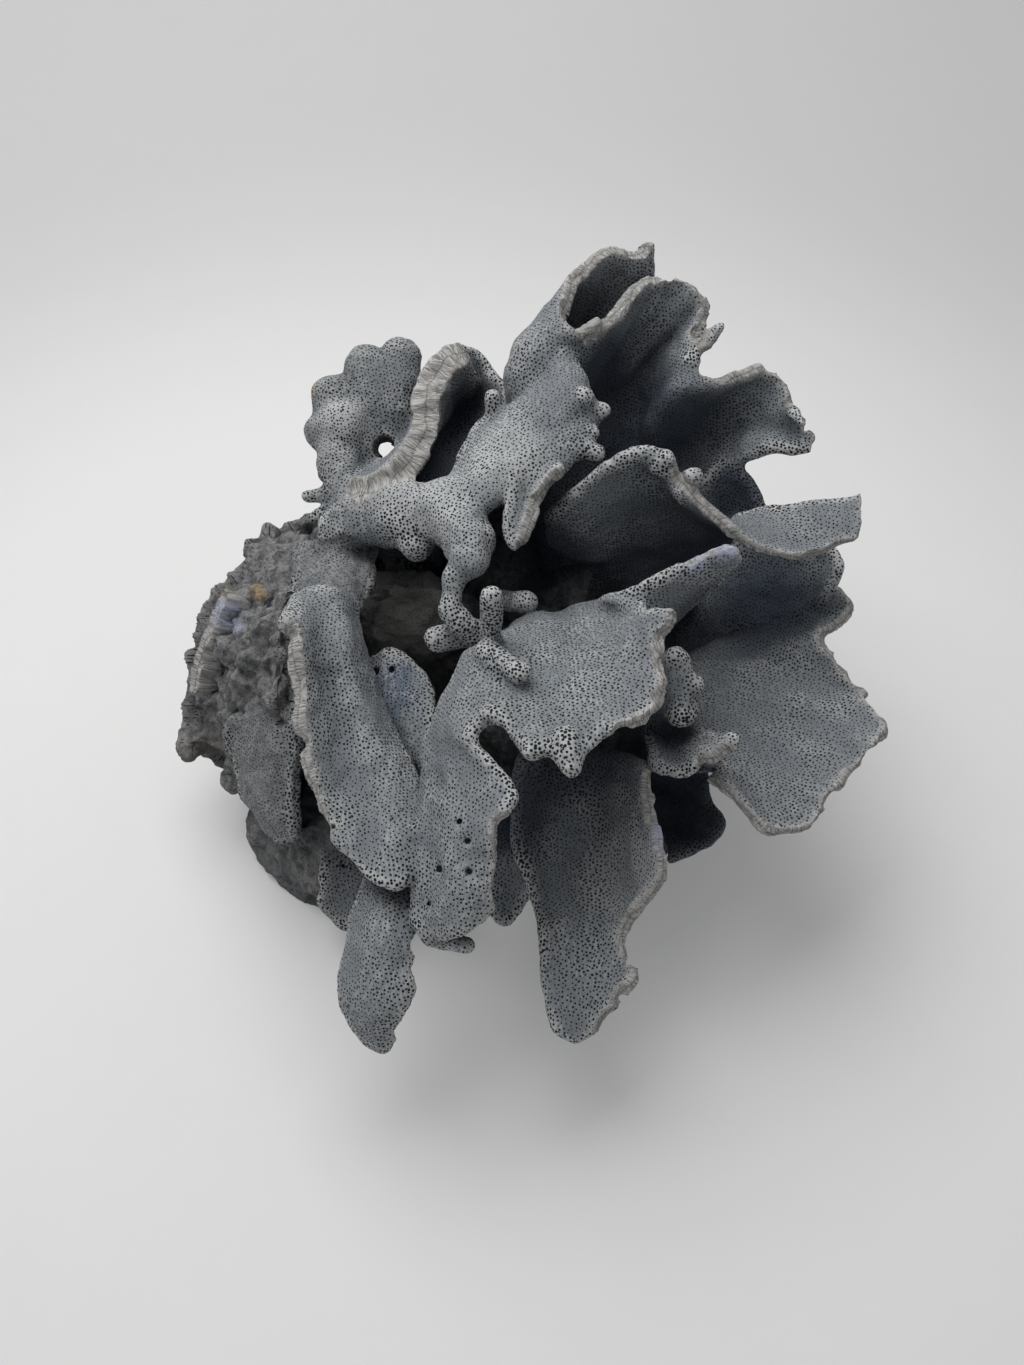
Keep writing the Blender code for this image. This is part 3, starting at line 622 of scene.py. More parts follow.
class Grid:
    """A box of cells that fields are spread on, in mm."""

    def __init__(self, low, high, cell):
        self.low, self.cell = np.asarray(low, float), cell
        self.shape = tuple(int(n) for n in np.ceil((high - self.low) / cell) + 1)

    def splat(self, places, amounts):
        """Shares each amount out over the eight grid points around its place."""
        at = (places - self.low) / self.cell
        base = np.floor(at).astype(np.int64)
        part = at - base
        total = np.zeros(self.shape, np.float32).ravel()
        for corner, share in corner_shares(part):
            index = np.ravel_multi_index(tuple((base + corner).T), self.shape, mode="clip")
            total += np.bincount(index, share * amounts, total.size).astype(np.float32)
        return total.reshape(self.shape)

    def blur(self, field, spread):
        """Blurs a field by a spread in mm."""
        width = spread / self.cell
        reach = int(3.2 * width) + 1
        taps = np.exp(-0.5 * (np.arange(reach + 1) / width) ** 2)
        taps = (taps / (2 * taps.sum() - taps[0])).astype(np.float32)
        for axis in range(3):
            field = np.moveaxis(field, axis, 0)
            out = taps[0] * field
            for k in range(1, reach + 1):
                out[k:] += taps[k] * field[:-k]
                out[:-k] += taps[k] * field[k:]
            field = np.moveaxis(out, 0, axis)
        return np.ascontiguousarray(field)

    def window(self, low, high):
        """The slices and the places of the grid points inside a box."""
        first = np.clip(np.floor((low - self.low) / self.cell), 0, self.shape).astype(int)
        last = np.clip(np.ceil((high - self.low) / self.cell) + 1, 0, self.shape).astype(int)
        axes = [
            self.low[i] + self.cell * np.arange(first[i], last[i], dtype=np.float32)
            for i in range(3)
        ]
        places = np.stack(np.meshgrid(*axes, indexing="ij"), -1)
        return tuple(slice(a, b) for a, b in zip(first, last)), places

    def read(self, fields, places):
        """Reads each field at any places, between the grid points."""
        at = (places - self.low) / self.cell
        top = np.array(self.shape) - 2
        base = np.clip(np.floor(at).astype(np.int64), 0, top)
        part = np.clip(at - base, 0, 1)
        totals = np.zeros((len(fields), len(places)))
        for corner, share in corner_shares(part):
            index = np.ravel_multi_index(tuple((base + corner).T), self.shape)
            for total, field in zip(totals, fields):
                total += share * field.take(index)
        return totals


def noise_at(places, size, seed):
    """Smooth random values from -1 to 1 at any places, with lumps of this size in mm."""
    at = (places - places.min(0)) / size
    counts = np.ceil(at.max(0)).astype(int) + 2
    lattice = np.random.default_rng(seed).uniform(-1, 1, counts)
    base = np.minimum(np.floor(at).astype(int), counts - 2)
    t = at - base
    t = t * t * t * (t * (6 * t - 15) + 10)
    total = np.zeros(len(places))
    for corner, share in corner_shares(t):
        total += share * lattice[tuple((base + corner).T)]
    return total


def peg_distance(places, start, end, start_radius, end_radius):
    """How far places are outside a tapered limb with round ends."""
    axis = end - start
    share = np.clip((places - start) @ axis / max(axis @ axis, 1e-9), 0, 1)
    nearest = start + share[..., None] * axis
    return length(places - nearest) - (start_radius + share * (end_radius - start_radius))


def lump_distance(places, centre, radii):
    """About how far places are outside an ellipsoid."""
    from_centre = places - centre
    k = np.maximum(length(from_centre / radii), 1e-6)
    return length(from_centre) * (1 - 1 / k)


def add_solid(grid, field, low, high, distance):
    """Adds a solid to a field of weights, so that it flows into what it touches."""
    window, places = grid.window(low - 5, high + 5)
    away = np.maximum(distance(places), -4)
    field[window] += np.exp(-away / BLEND).astype(np.float32)


def faces_along(axis, label, number):
    """A face around each grid edge along an axis that joins two labels, and those labels."""
    first, last = [slice(None)] * 3, [slice(None)] * 3
    first[axis], last[axis] = slice(None, -1), slice(1, None)
    edge = np.argwhere(label[tuple(first)] != label[tuple(last)])
    second, third = (axis + 1) % 3, (axis + 2) % 3
    keep = (edge[:, second] > 0) & (edge[:, third] > 0)
    keep &= (edge[:, second] < number.shape[second]) & (edge[:, third] < number.shape[third])
    edge = edge[keep]
    ring = []
    for step_second, step_third in ((-1, -1), (0, -1), (0, 0), (-1, 0)):
        beside = edge.copy()
        beside[:, second] += step_second
        beside[:, third] += step_third
        ring.append(number[tuple(beside.T)])
    behind = label[tuple(edge.T)]
    edge[:, axis] += 1
    return np.stack(ring, 1), behind, label[tuple(edge.T)]


def surface(grid, depth, label):
    """The skins around and between the labelled parts of a solid.

    Depths place the outer skin where they pass 0. Returns places, four-cornered faces, and the
    label behind and before each face; label 0 is the open air.
    """
    cells = tuple(n - 1 for n in grid.shape)
    corners = list(np.ndindex(2, 2, 2))
    least, most = np.full(cells, 255, np.uint8), np.zeros(cells, np.uint8)
    for corner in corners:
        part = label[tuple(slice(c, n + c) for c, n in zip(corner, cells))]
        np.minimum(least, part, out=least)
        np.maximum(most, part, out=most)
    active = least != most
    cell = np.argwhere(active)
    number = np.full(cells, -1, np.int32)
    number[active] = np.arange(len(cell))
    outer = least[active] == 0
    value = {c: depth[tuple((cell + c).T)] for c in corners}
    kind = {c: label[tuple((cell + c).T)] for c in corners}
    total, hits = np.zeros((len(cell), 3)), np.zeros(len(cell))
    for a in corners:
        for axis in range(3):
            if a[axis]:
                continue
            b = tuple(c + (i == axis) for i, c in enumerate(a))
            leaves = (kind[a] == 0) != (kind[b] == 0)
            cross = np.where(outer, leaves, kind[a] != kind[b])
            gap = np.where(leaves, value[a] - value[b], 1)
            t = np.where(leaves, value[a] / gap, 0.5)
            place = np.tile(np.array(a, float), (len(cell), 1))
            place[:, axis] += t
            total += place * cross[:, None]
            hits += cross
    verts = grid.low + (cell + total / hits[:, None]) * grid.cell
    parts = zip(*(faces_along(axis, label, number) for axis in range(3)))
    faces, behind, before = map(np.concatenate, parts)
    flip = behind < before
    faces[flip] = faces[flip][:, ::-1]
    behind[flip], before[flip] = before[flip], behind[flip]
    return verts, faces, behind, before


def edges_of(faces):
    pairs = np.concatenate([faces[:, [i, (i + 1) % 4]] for i in range(4)])
    low, high = np.sort(pairs.astype(np.int64), 1).T
    count = high.max() + 1
    return np.stack(np.divmod(np.unique(low * count + high), count), 1)


def spread_out(values, edges, count, amount=0.5):
    """Moves each vertex's values towards the mean of its neighbours'."""
    values = np.asarray(values, float)
    flat = values.reshape(count, -1)
    near = np.bincount(edges.ravel(), minlength=count)
    out = np.empty_like(flat)
    for i in range(flat.shape[1]):
        sums = np.bincount(edges[:, 0], flat[edges[:, 1], i], count)
        sums += np.bincount(edges[:, 1], flat[edges[:, 0], i], count)
        out[:, i] = sums / np.maximum(near, 1)
    return (flat + amount * (out - flat)).reshape(values.shape)


def vertex_normals(verts, faces):
    a, b, c, d = (verts[faces[:, i]] for i in range(4))
    cross = np.cross(c - a, d - b)
    normals = np.zeros_like(verts)
    for i in range(4):
        for axis in range(3):
            normals[:, axis] += np.bincount(faces[:, i], cross[:, axis], len(verts))
    return unit(normals)


def bodies(count, pairs):
    """Numbers the groups that linked items fall into, by each group's lowest item."""
    root = np.arange(count)
    while True:
        low = np.minimum(root[pairs[:, 0]], root[pairs[:, 1]])
        new = root.copy()
        np.minimum.at(new, pairs[:, 0], low)
        np.minimum.at(new, pairs[:, 1], low)
        np.minimum.at(new, root[pairs[:, 0]], low)
        np.minimum.at(new, root[pairs[:, 1]], low)
        new = new[new]
        if (new == root).all():
            return root
        root = new


def keep_used(verts, faces, *values):
    used = np.unique(faces)
    number = np.full(len(verts), -1)
    number[used] = np.arange(len(used))
    return verts[used], number[faces], *(v[used] for v in values)


# Tubes that borers left and gaps that never closed: start, end and radius in layout places.
HOLES = [
    ((-43.5, 81, 12), (-43, 81, -60), 2.8),
    ((-44, 80, 12), (-43.5, 79.5, -14), 3.6),
    ((-42.6, 77, 12), (-43, 77.5, -60), 2.4),
    ((-14, -39, 80), (-15, -39, 60), 0.9),
    ((-12, -44, 80), (-13, -44, 62), 1.0),
    ((-21.5, -53, 76), (-20, -53, 58), 0.9),
    ((-11.5, -52.5, 82), (-12.5, -52.5, 66), 1.0),
    ((-24.5, -63, 74), (-23, -63, 56), 0.8),
    ((-44.5, 3.5, 12), (-44.5, 3.5, -8), 1.3),
    ((-38.5, 4.2, 12), (-38.5, 4.2, -8), 1.2),
]

# Crust on the aged side, seen square to the layout plane: lines of points (across, up), the
# half width of each line, and how far it stands out of the surface or is sunk into it.
CRUST = [
    ([(-110, -7), (-108, -3), (-104.5, -4), (-103.5, -8), (-106, -11), (-109.5, -10)], 1.5, 1.5),
    ([(-106.7, -7)], 2.2, -1.8),
    ([(-89, 13), (-86, 10), (-87, 5), (-84, 2)], 1.4, 1.8),
    ([(-91, 3), (-87, 0), (-88, -5), (-84, -7)], 1.5, 1.8),
    ([(-83, 12), (-81, 7), (-82, 2)], 1.3, 1.5),
    ([(-94, -2), (-91, -6)], 1.6, 1.6),
    ([(-90, 7)], 2.6, -3.5),
    ([(-85, -2)], 2.4, -3.2),
    ([(-93, 0)], 2.2, -2.6),
    ([(-80, -8)], 2.6, -2.6),
    ([(-100, 9), (-101, 13)], 2.2, -3.4),
    ([(-97, -20), (-94, -24)], 3.0, -2.6),
    ([(-84, 20)], 2.4, -1.8),
    ([(-95, 30), (-89, 33), (-84, 38)], 2.6, 1.8),
    ([(-88, 27), (-80, 31), (-74, 33)], 3.0, 2.0),
    ([(-92, 40), (-85, 44)], 2.6, 1.8),
    ([(-104, 24), (-99, 26), (-94, 24)], 1.8, 1.6),
    ([(-105, 20), (-99, 19), (-95, 21)], 1.4, 1.2),
]

# Patches of colour, the middle and radius of each, by kind: stains, and also painted light and
# shade in the dust, pale, deep and navy patches.
STAINS_AND_PAINTED_LIGHT = {
    "orange": [
        ((-89, 34, -8), 5), ((-97, 30, -16), 4), ((-92, 5, -6), 3.2), ((-67, 100, -20), 4.5),
    ],
    "lilac": [
        ((-99, 24, -14), 7), ((-94, 19, -8), 4), ((45, -31, 48), 6), ((44, -38, 48), 6),
        ((45.5, -45, 49), 6), ((55, 37, 38), 5), ((64, 41, 39), 5.5), ((71, 40, 40), 4),
    ],
    "brown": [
        ((-110, -22, -34), 10), ((-100, -20, -30), 7),
    ],
    "dust_and_shade_lift": [
        ((-38, 27, -22), 26), ((30, -54, 30), 27), ((-14, 88, -12), 14), ((0, -68, 16), 16),
    ],
    "pale": [
        ((-26, 56, 12), 20), ((-57, 87, -10), 12), ((-2, 70, 22), 16), ((35, -59, 38), 17),
    ],
    "deep": [
        ((54, 94, -30), 19), ((44, 80, -38), 18), ((34, 103, -9), 17), ((66, 56, -28), 14),
        ((80, 67, -29), 13), ((84, 31, -11), 23),
    ],
    "navy_and_shade": [
        ((-39, -4, 12), 12), ((-36, 3, 8), 5),
    ],
}


def on_layout(places):
    """Layout places (across, up, out) from places in space."""
    across = places[:, 0] + CUT_CENTRE[0]
    back, height = places[:, 1] + CUT_CENTRE[1], places[:, 2] - PLANE_HEIGHT
    up = back * math.sin(LEAN) + height * math.cos(LEAN)
    out = height * math.sin(LEAN) - back * math.cos(LEAN)
    return np.stack([across, up, out], -1)


def crust(places):
    """How far the crust stands out at places on the layout."""
    flat = places * (1, 1, 0)
    total = np.zeros(len(places))
    for line, half, height in CRUST:
        ends = list(zip(line, line[1:])) or [(line[0], line[0])]
        away = np.min([
            peg_distance(flat, np.array([*start, 0.0]), np.array([*end, 0.001]), half, half)
            for start, end in ends
        ], axis=0)
        total += height * step(-0.6, half, away)
    return total


def patch_shares(places, spots):
    """Share of a patch's colour at places on the layout, for stains and painted light and shade
    alike.
    """
    total = np.zeros(len(places))
    for middle, radius in spots:
        away = length((places - middle) * (1, 1, 0.6)) / radius
        total = np.maximum(total, 1 - step(0.55, 1.1, away))
    return total


def grow(grid):
    """Spreads fronds and lumps on the grid.

    Returns how deep each grid point is in the skeleton, how far past a broken rim it is, and
    each node's own samples.
    """
    owners = {}
    for name, design in FRONDS.items():
        owners[name] = [sample_sheet(s) for s in design["sheets"]]
    parts = [samples for made in owners.values() for samples, _ in made]
    place = np.concatenate([p["place"] for p in parts])
    weight = np.concatenate([p["weight"] for p in parts])
    past = np.concatenate([p["past"] for p in parts])
    share = grid.cell**3
    field = grid.blur(grid.splat(place, weight / share), SPREAD)
    rims = grid.blur(grid.splat(place, weight * (past + NEAR) / share), SPREAD)
    for design in FRONDS.values():
        for peg in design["pegs"]:
            add_peg(grid, field, peg)
    for lump in LUMPS:
        add_lump(grid, field, lump)
    rims = rims / np.maximum(field, 1e-6) - NEAR
    return field, rims, owners


def add_peg(grid, field, peg):
    start, end = on_plane([peg[0], peg[1]])
    widest = max(peg[2], peg[3])
    add_solid(
        grid, field, np.minimum(start, end) - widest, np.maximum(start, end) + widest,
        lambda places: peg_distance(places, start, end, peg[2], peg[3]),
    )


def add_lump(grid, field, lump):
    centre = np.array(lump[0], float) - (*CUT_CENTRE, 0)
    radii = np.array(lump[1], float)
    add_solid(
        grid, field, centre - radii, centre + radii,
        lambda places: lump_distance(places, centre, radii),
    )


def carve(grid, field, rims):
    """Turns the weights into depths, and breaks, bores and cuts the skeleton."""
    depth = np.log(np.maximum(field, 1e-6)) * SPREAD**2 / 2
    depth = np.clip(depth, -6, 6)
    ends = -rims
    near = np.argwhere((rims > -NEAR + 1.5) & (depth > -1.5))
    places = grid.low + near * grid.cell
    ragged = 0.5 * (1 + noise_at(places, CHIP, 11))
    ragged += BITE_DEPTH * np.maximum(noise_at(places, BITE, 12), 0)
    ends[tuple(near.T)] -= ragged.astype(np.float32)
    depth = np.minimum(depth, ends)
    for start, end, radius in HOLES:
        start, end = on_plane([start, end])
        low, high = np.minimum(start, end) - radius, np.maximum(start, end) + radius
        window, places = grid.window(low - 1, high + 1)
        away = peg_distance(places, start, end, radius, radius)
        depth[window] = np.minimum(depth[window], away)
    heights = grid.low[2] + grid.cell * np.arange(grid.shape[2])
    depth = np.minimum(depth, heights.astype(np.float32))
    for axis in range(3):
        side = np.moveaxis(depth, axis, 0)
        side[0] = side[-1] = -1
    return depth, ends


def neighbours(mask):
    """Pairs of neighbouring grid points that both lie in a mask, by their numbers."""
    number = np.full(mask.shape, -1)
    number[mask] = np.arange(mask.sum())
    pairs = []
    for axis in range(3):
        lines = np.moveaxis(number, axis, 0)
        one, other = lines[:-1].ravel(), lines[1:].ravel()
        both = (one >= 0) & (other >= 0)
        pairs.append(np.stack([one[both], other[both]], 1))
    return np.concatenate(pairs)


def widened(mask):
    """A mask grown by one grid point on every side."""
    for axis in range(3):
        lines = np.moveaxis(mask, axis, 0)
        grown = lines.copy()
        grown[1:] |= lines[:-1]
        grown[:-1] |= lines[1:]
        mask = np.moveaxis(grown, 0, axis)
    return mask


def without_islands(fields):
    """Clears each node's field wherever it rules apart from the node's main body."""
    rules = np.where(np.sum(fields, 0) > 0.5, np.argmax(fields, 0), -1)
    for i, field in enumerate(fields):
        mask = rules == i
        group = bodies(int(mask.sum()), neighbours(mask))
        island = np.zeros(mask.shape, bool)
        island[mask] = group != np.bincount(group).argmax()
        field[widened(island)] = 0
    return fields


def node_fields(owners, low, high):
    """How much of the skeleton belongs to each node, in the nodes' order, on its own grid."""
    grid = Grid(low, high, NODE_CELL)
    share = grid.cell**3
    fields = []
    for name, made in owners.items():
        place = np.concatenate([samples["place"] for samples, _ in made])
        weight = np.concatenate([samples["weight"] for samples, _ in made])
        field = grid.blur(grid.splat(place, weight / share), 2.0)
        for peg in FRONDS[name]["pegs"]:
            add_peg(grid, field, peg)
        fields.append(field)
    mound = np.zeros(grid.shape, np.float32)
    for lump in LUMPS:
        add_lump(grid, mound, lump)
    fields.append(mound)
    return grid, without_islands(fields)


def label_parts(grid, depth, node_grid, fields):
    """Labels each grid point inside the solid by its node's number, from 1."""
    label = np.zeros(grid.shape, np.uint8)
    inside = np.argwhere(depth > 0)
    shares = node_grid.read(fields, grid.low + inside * grid.cell)
    label[tuple(inside.T)] = shares.argmax(0) + 1
    return label


def peg_guide(peg, old):
    """Guide samples along a peg's middle. Thin pegs have the wide pores of a rounded rim."""
    start, end = on_plane([peg[0], peg[1]])
    count = max(3, int(length(end - start)))
    share = np.linspace(0, 1, count)[:, None]
    wide = max(peg[2], peg[3]) > WIDE_PEG
    return {
        "place": start + (end - start) * share,
        "normal": np.zeros((count, 3)),
        "flow": np.tile(unit(end - start), (count, 1)),
        "rounded": np.full(count, float(FAR) if wide else 0.0),
        "torn": np.full(count, float(NEAR)),
        "lane": np.zeros(count),
        "along": share[:, 0] * length(end - start),
        "sideways": np.zeros(count),
        "old": np.full(count, float(old)),
    }


def guides(owners):
    """All the samples that say where on its sheet or peg a place on the skin lies."""
    made = [guide for parts in owners.values() for _, guide in parts]
    for design in FRONDS.values():
        old = max(s["old"] for s in design["sheets"])
        made += [peg_guide(peg, old) for peg in design["pegs"]]
    return {key: np.concatenate([g[key] for g in made]) for key in made[0]}


def nearest(places, verts):
    tree = KDTree(len(places))
    for i, place in enumerate(places.tolist()):
        tree.insert(place, i)
    tree.balance()
    return np.array([tree.find(vert)[1] for vert in verts.tolist()])


def step(low, high, values):
    t = np.clip((values - low) / (high - low), 0, 1)
    return t * t * (3 - 2 * t)


def smooth_skin(verts, faces, outer):
    """Smooths the outer skin, and the inner walls between its fixed edges."""
    edges = edges_of(faces[outer])
    count = len(verts)
    on_skin = np.zeros(count, bool)
    on_skin[faces[outer]] = True
    for _ in range(2):
        verts = np.where(on_skin[:, None], spread_out(verts, edges, count), verts)
    walls = edges_of(faces[~outer]) if (~outer).any() else edges[:0]
    for _ in range(4):
        verts = np.where(on_skin[:, None], verts, spread_out(verts, walls, count))
    return verts, edges, on_skin


def sky_above(room, filled):
    """How much of the sky over each grid point isn't hidden by the skeleton, from 0 to 1."""
    points = np.argwhere(widened(filled) & ~filled)
    limits = np.array(filled.shape)
    seen, total = np.zeros(len(points)), 0
    for height in (0.25, 0.5, 0.72, 0.88, 0.98):
        for turn in range(8):
            angle = (turn + height * 3) * math.tau / 8
            flat = math.sqrt(1 - height**2)
            way = np.array([flat * math.cos(angle), flat * math.sin(angle), height])
            free, left = np.ones(len(points), bool), np.arange(len(points))
            for k in range(1, int(limits.max() / max(height, 0.5))):
                at = np.rint(points[left] + way * k).astype(int)
                within = ((at >= 0) & (at < limits)).all(1)
                left, at = left[within], at[within]
                hidden = filled[tuple(at.T)]
                free[left[hidden]] = False
                left = left[~hidden]
            seen += free * height
            total += height
    value = np.zeros(filled.shape, np.float32)
    weight = np.zeros(filled.shape, np.float32)
    value[tuple(points.T)] = seen / total
    weight[tuple(points.T)] = 1
    spread = room.cell * 0.9
    return room.blur(value, spread) / np.maximum(room.blur(weight, spread), 1e-4)


def charts(verts, faces, normals):
    """Flat maps of the skin: each face lies in the map of the axis that it faces most.

    Returns two numbers in mm for each corner of each face.
    """
    axes = [way for way in np.ndindex(3, 3, 3) if tuple(way) > (1, 1, 1)]
    facing = unit(normals[faces].mean(1))
    across = [unit(np.array(way, float) - 1) for way in axes]
    best = np.abs(facing @ np.array(across).T).argmax(1)
    places = np.zeros((len(faces), 4, 2))
    for i, way in enumerate(across):
        side = unit(np.cross(way, (0.31, 0.55, 0.77)))
        frame = np.stack([side, np.cross(way, side)], 1)
        places[best == i] = verts[faces[best == i]] @ frame + i * MAP_GAP
    return places


def main_body(verts, faces, behind, before):
    """Leaves out everything that isn't joined to the largest body."""
    body = bodies(len(verts), edges_of(faces))
    kept = body[faces[:, 0]] == np.bincount(body).argmax()
    verts, faces = keep_used(verts, faces[kept])
    return verts, faces, behind[kept], before[kept]


def sheet_facts(guide, verts, mound):
    """Where on its sheet each vertex lies, how near its rims it is and how old it is there."""
    near = nearest(guide["place"], verts)
    flow, normal = guide["flow"][near], guide["normal"][near]
    away = verts - guide["place"][near]
    lane = guide["lane"][near] + (away * np.cross(flow, normal)).sum(1)
    along = guide["along"][near] + (away * flow).sum(1)
    return {
        "rounded": np.exp(-guide["rounded"][near] / 3) * (1 - mound),
        "torn": np.exp(-guide["torn"][near] / 2.5),
        "lane": lane,
        "along": along,
        "run": np.where(guide["sideways"][near] > 0.5, along, lane),
        "across": (away * normal).sum(1),
        "old": np.maximum(guide["old"][near] * (1 - mound), mound * 0.9),
    }


def cavities(grid, depth, high, places):
    """How closed in places are, from 0 in the open to 1 deep inside, on a sparser grid."""
    sparse = 3
    room = Grid(grid.low, high, grid.cell * sparse)
    filled = depth[::sparse, ::sparse, ::sparse] > 0
    room.shape = filled.shape
    return 1 - room.read([sky_above(room, filled)], places)[0]


def bumps_on(verts, normals, facts, layout):
    """How far each vertex is raised: small bumps on fronds, rugged lumps and crust on old skin."""
    rough = step(0.3, 0.8, facts["old"]) * (1 - facts["broken"])
    facing = normals[:, 2] * math.sin(LEAN) - normals[:, 1] * math.cos(LEAN)
    bumps = 0.7 * noise_at(verts, 7, 21) + 0.3 * noise_at(verts, 3, 22)
    bumps += rough * (1.8 * noise_at(verts, 10, 23) + 1.5 * noise_at(verts, 4.5, 24))
    bumps += facts["mound"] * (5 * noise_at(verts * (1, 1, 0.45), 17, 27) - 1)
    bumps += rough * 0.9 * noise_at(verts, 2.2, 25)
    bumps -= rough * 5 * np.maximum(noise_at(verts, 5.5, 26) - 0.3, 0)
    return bumps + rough * step(-0.2, 0.4, facing) * crust(layout)


def make_skin():
    """Grows the whole colony's skin, with the facts that its material reads."""
    low, high = (np.array(corner) / MM for corner in CAD_BOX)
    grid = Grid(low - 4, high + 4, CELL)
    field, rims, owners = grow(grid)
    depth, ends = carve(grid, field, rims)
    node_grid, fields = node_fields(owners, low - 6, high + 6)
    label = label_parts(grid, depth, node_grid, fields)
    verts, faces, behind, before = main_body(*surface(grid, depth, label))
    outer = before == 0
    verts, edges, on_skin = smooth_skin(verts, faces, outer)
    count = len(verts)
    normals = vertex_normals(verts, faces[outer])
    relaxed = verts
    for _ in range(14):
        relaxed = spread_out(relaxed, edges, count)

    parts = node_grid.read(fields, verts)
    mound = parts[-1] / np.maximum(parts.sum(0), 1e-9)
    facts = sheet_facts(guides(owners), verts, mound)
    for key in ("rounded", "torn", "old"):
        for _ in range(3):
            facts[key] = spread_out(facts[key], edges, count)
    facts["mound"] = mound
    facts["broken"] = 1 - step(0.25, 1.0, grid.read([ends], verts)[0])
    # How closed in each place is: it narrows the pores and sets the painted shade in the material.
    facts["cavity"] = cavities(grid, depth, high, verts + normals * 1.5)
    facts["ridge"] = np.where(on_skin, ((verts - relaxed) * normals).sum(1), 0)
    layout = on_layout(verts)
    for kind, spots in STAINS_AND_PAINTED_LIGHT.items():
        facts[kind] = patch_shares(layout, spots)

    bumps = bumps_on(verts, normals, facts, layout) * np.minimum(verts[:, 2] / 3, 1) * on_skin
    verts = np.clip(verts + normals * bumps[:, None], low + SKIN_GAP, high - SKIN_GAP)
    normals = vertex_normals(verts, faces[outer])
    soft = vertex_normals(relaxed, faces[outer])
    return verts, faces, normals, soft, facts, behind, before


def join_flat_faces(mesh):
    """Joins the faces of the cut, which is flat, into one."""
    flat = bmesh.new()
    flat.from_mesh(mesh)
    low = 1.5 * SKIN_GAP * MM
    cut = [f for f in flat.faces if f.normal.z < -0.99 and all(v.co.z < low for v in f.verts)]
    if cut:
        bmesh.ops.dissolve_faces(flat, faces=cut)
        flat.to_mesh(mesh)
    flat.free()


def make_piece(name, verts, faces, normals, facts, material, soft_normals):
    mesh = bpy.data.meshes.new(name)
    mesh.vertices.add(len(verts))
    mesh.vertices.foreach_set("co", (verts * MM).astype(np.float32).ravel())
    mesh.loops.add(len(faces) * 4)
    mesh.loops.foreach_set("vertex_index", faces.astype(np.int32).ravel())
    mesh.polygons.add(len(faces))
    mesh.polygons.foreach_set("loop_start", np.arange(0, len(faces) * 4, 4, dtype=np.int32))
    mesh.update(calc_edges=True)
    mesh.polygons.foreach_set("use_smooth", np.ones(len(faces), bool))
    for key, values in facts.items():
        layer = mesh.attributes.new(key, "FLOAT", "POINT")
        layer.data.foreach_set("value", values.astype(np.float32))
    layer = mesh.attributes.new("way", "FLOAT_VECTOR", "POINT")
    layer.data.foreach_set("vector", normals.astype(np.float32).ravel())
    layer = mesh.attributes.new("chart", "FLOAT2", "CORNER")
    layer.data.foreach_set(
        "vector", charts(verts, faces, soft_normals).astype(np.float32).ravel()
    )
    join_flat_faces(mesh)
    ways = np.empty(len(mesh.vertices) * 3, np.float32)
    mesh.attributes["way"].data.foreach_get("vector", ways)
    mesh.attributes.remove(mesh.attributes["way"])
    mesh.normals_split_custom_set_from_vertices(ways.reshape(-1, 3).tolist())
    mesh.materials.append(material)
    piece = bpy.data.objects.new(name, mesh)
    bpy.context.scene.collection.objects.link(piece)
    return piece


class Nodes:
    """Builds a material's nodes."""

    def __init__(self, name):
        self.material = bpy.data.materials.new(name)
        self.material.use_nodes = True
        self.tree = self.material.node_tree
        self.shader = self.tree.nodes["Principled BSDF"]

    def add(self, kind, inputs=(), **settings):
        node = self.tree.nodes.new("ShaderNode" + kind)
        for key, value in settings.items():
            setattr(node, key, value)
        for key, value in dict(inputs).items():
            self.link(value, node.inputs[key])
        return node

    def link(self, value, socket):
        if isinstance(value, bpy.types.NodeSocket):
            self.tree.links.new(value, socket)
        else:
            socket.default_value = value

    def fact(self, name):
        return self.add("Attribute", attribute_name=name).outputs["Fac"]

    def math(self, operation, *values, clamp=False):
        node = self.add("Math", operation=operation, use_clamp=clamp)
        for i, value in enumerate(values):
            self.link(value, node.inputs[i])
        return node.outputs[0]

    def vector(self, operation, *values):
        node = self.add("VectorMath", operation=operation)
        for i, value in enumerate(values):
            self.link(value, node.inputs[i])
        return node.outputs["Value" if operation in ("DOT_PRODUCT", "LENGTH") else 0]

    def parts(self, vector):
        node = self.add("SeparateXYZ", {0: vector})
        return node.outputs[0], node.outputs[1], node.outputs[2]

    def times(self, first, *others):
        for other in others:
            first = self.math("MULTIPLY", first, other)
        return first

    def plus(self, first, *others):
        for other in others:
            first = self.math("ADD", first, other)
        return first

    def flat(self, u, v):
        """A place on a flat map."""
        return self.add("CombineXYZ", {0: u, 1: v, 2: 0.0}).outputs[0]

    def noise(self, place, scale, detail=2, roughness=0.5):
        inputs = {"Vector": place, "Scale": scale, "Detail": detail, "Roughness": roughness}
        return self.add("TexNoise", inputs).outputs["Fac"]

    def between(self, value, low, high, start=0.0, end=1.0):
        """Runs smoothly from start to end as a value goes from low to high."""
        node = self.add("MapRange", interpolation_type="SMOOTHSTEP")
        for key, v in zip((0, 1, 2, 3, 4), (value, low, high, start, end)):
            self.link(v, node.inputs[key])
        return node.outputs[0]

    def mix(self, share, one, other):
        node = self.add("Mix", data_type="RGBA")
        for key, value in ((0, share), (6, one), (7, other)):
            if isinstance(value, tuple):
                value = (*value, 1)
            self.link(value, node.inputs[key])
        return node.outputs[2]

    def darken(self, colour, share, factor):
        """Multiplies a colour by a darker one, by a share."""
        node = self.add("Mix", data_type="RGBA", blend_type="MULTIPLY")
        self.link(share, node.inputs[0])
        self.link(colour, node.inputs[6])
        node.inputs[7].default_value = (*factor, 1)
        return node.outputs[2]


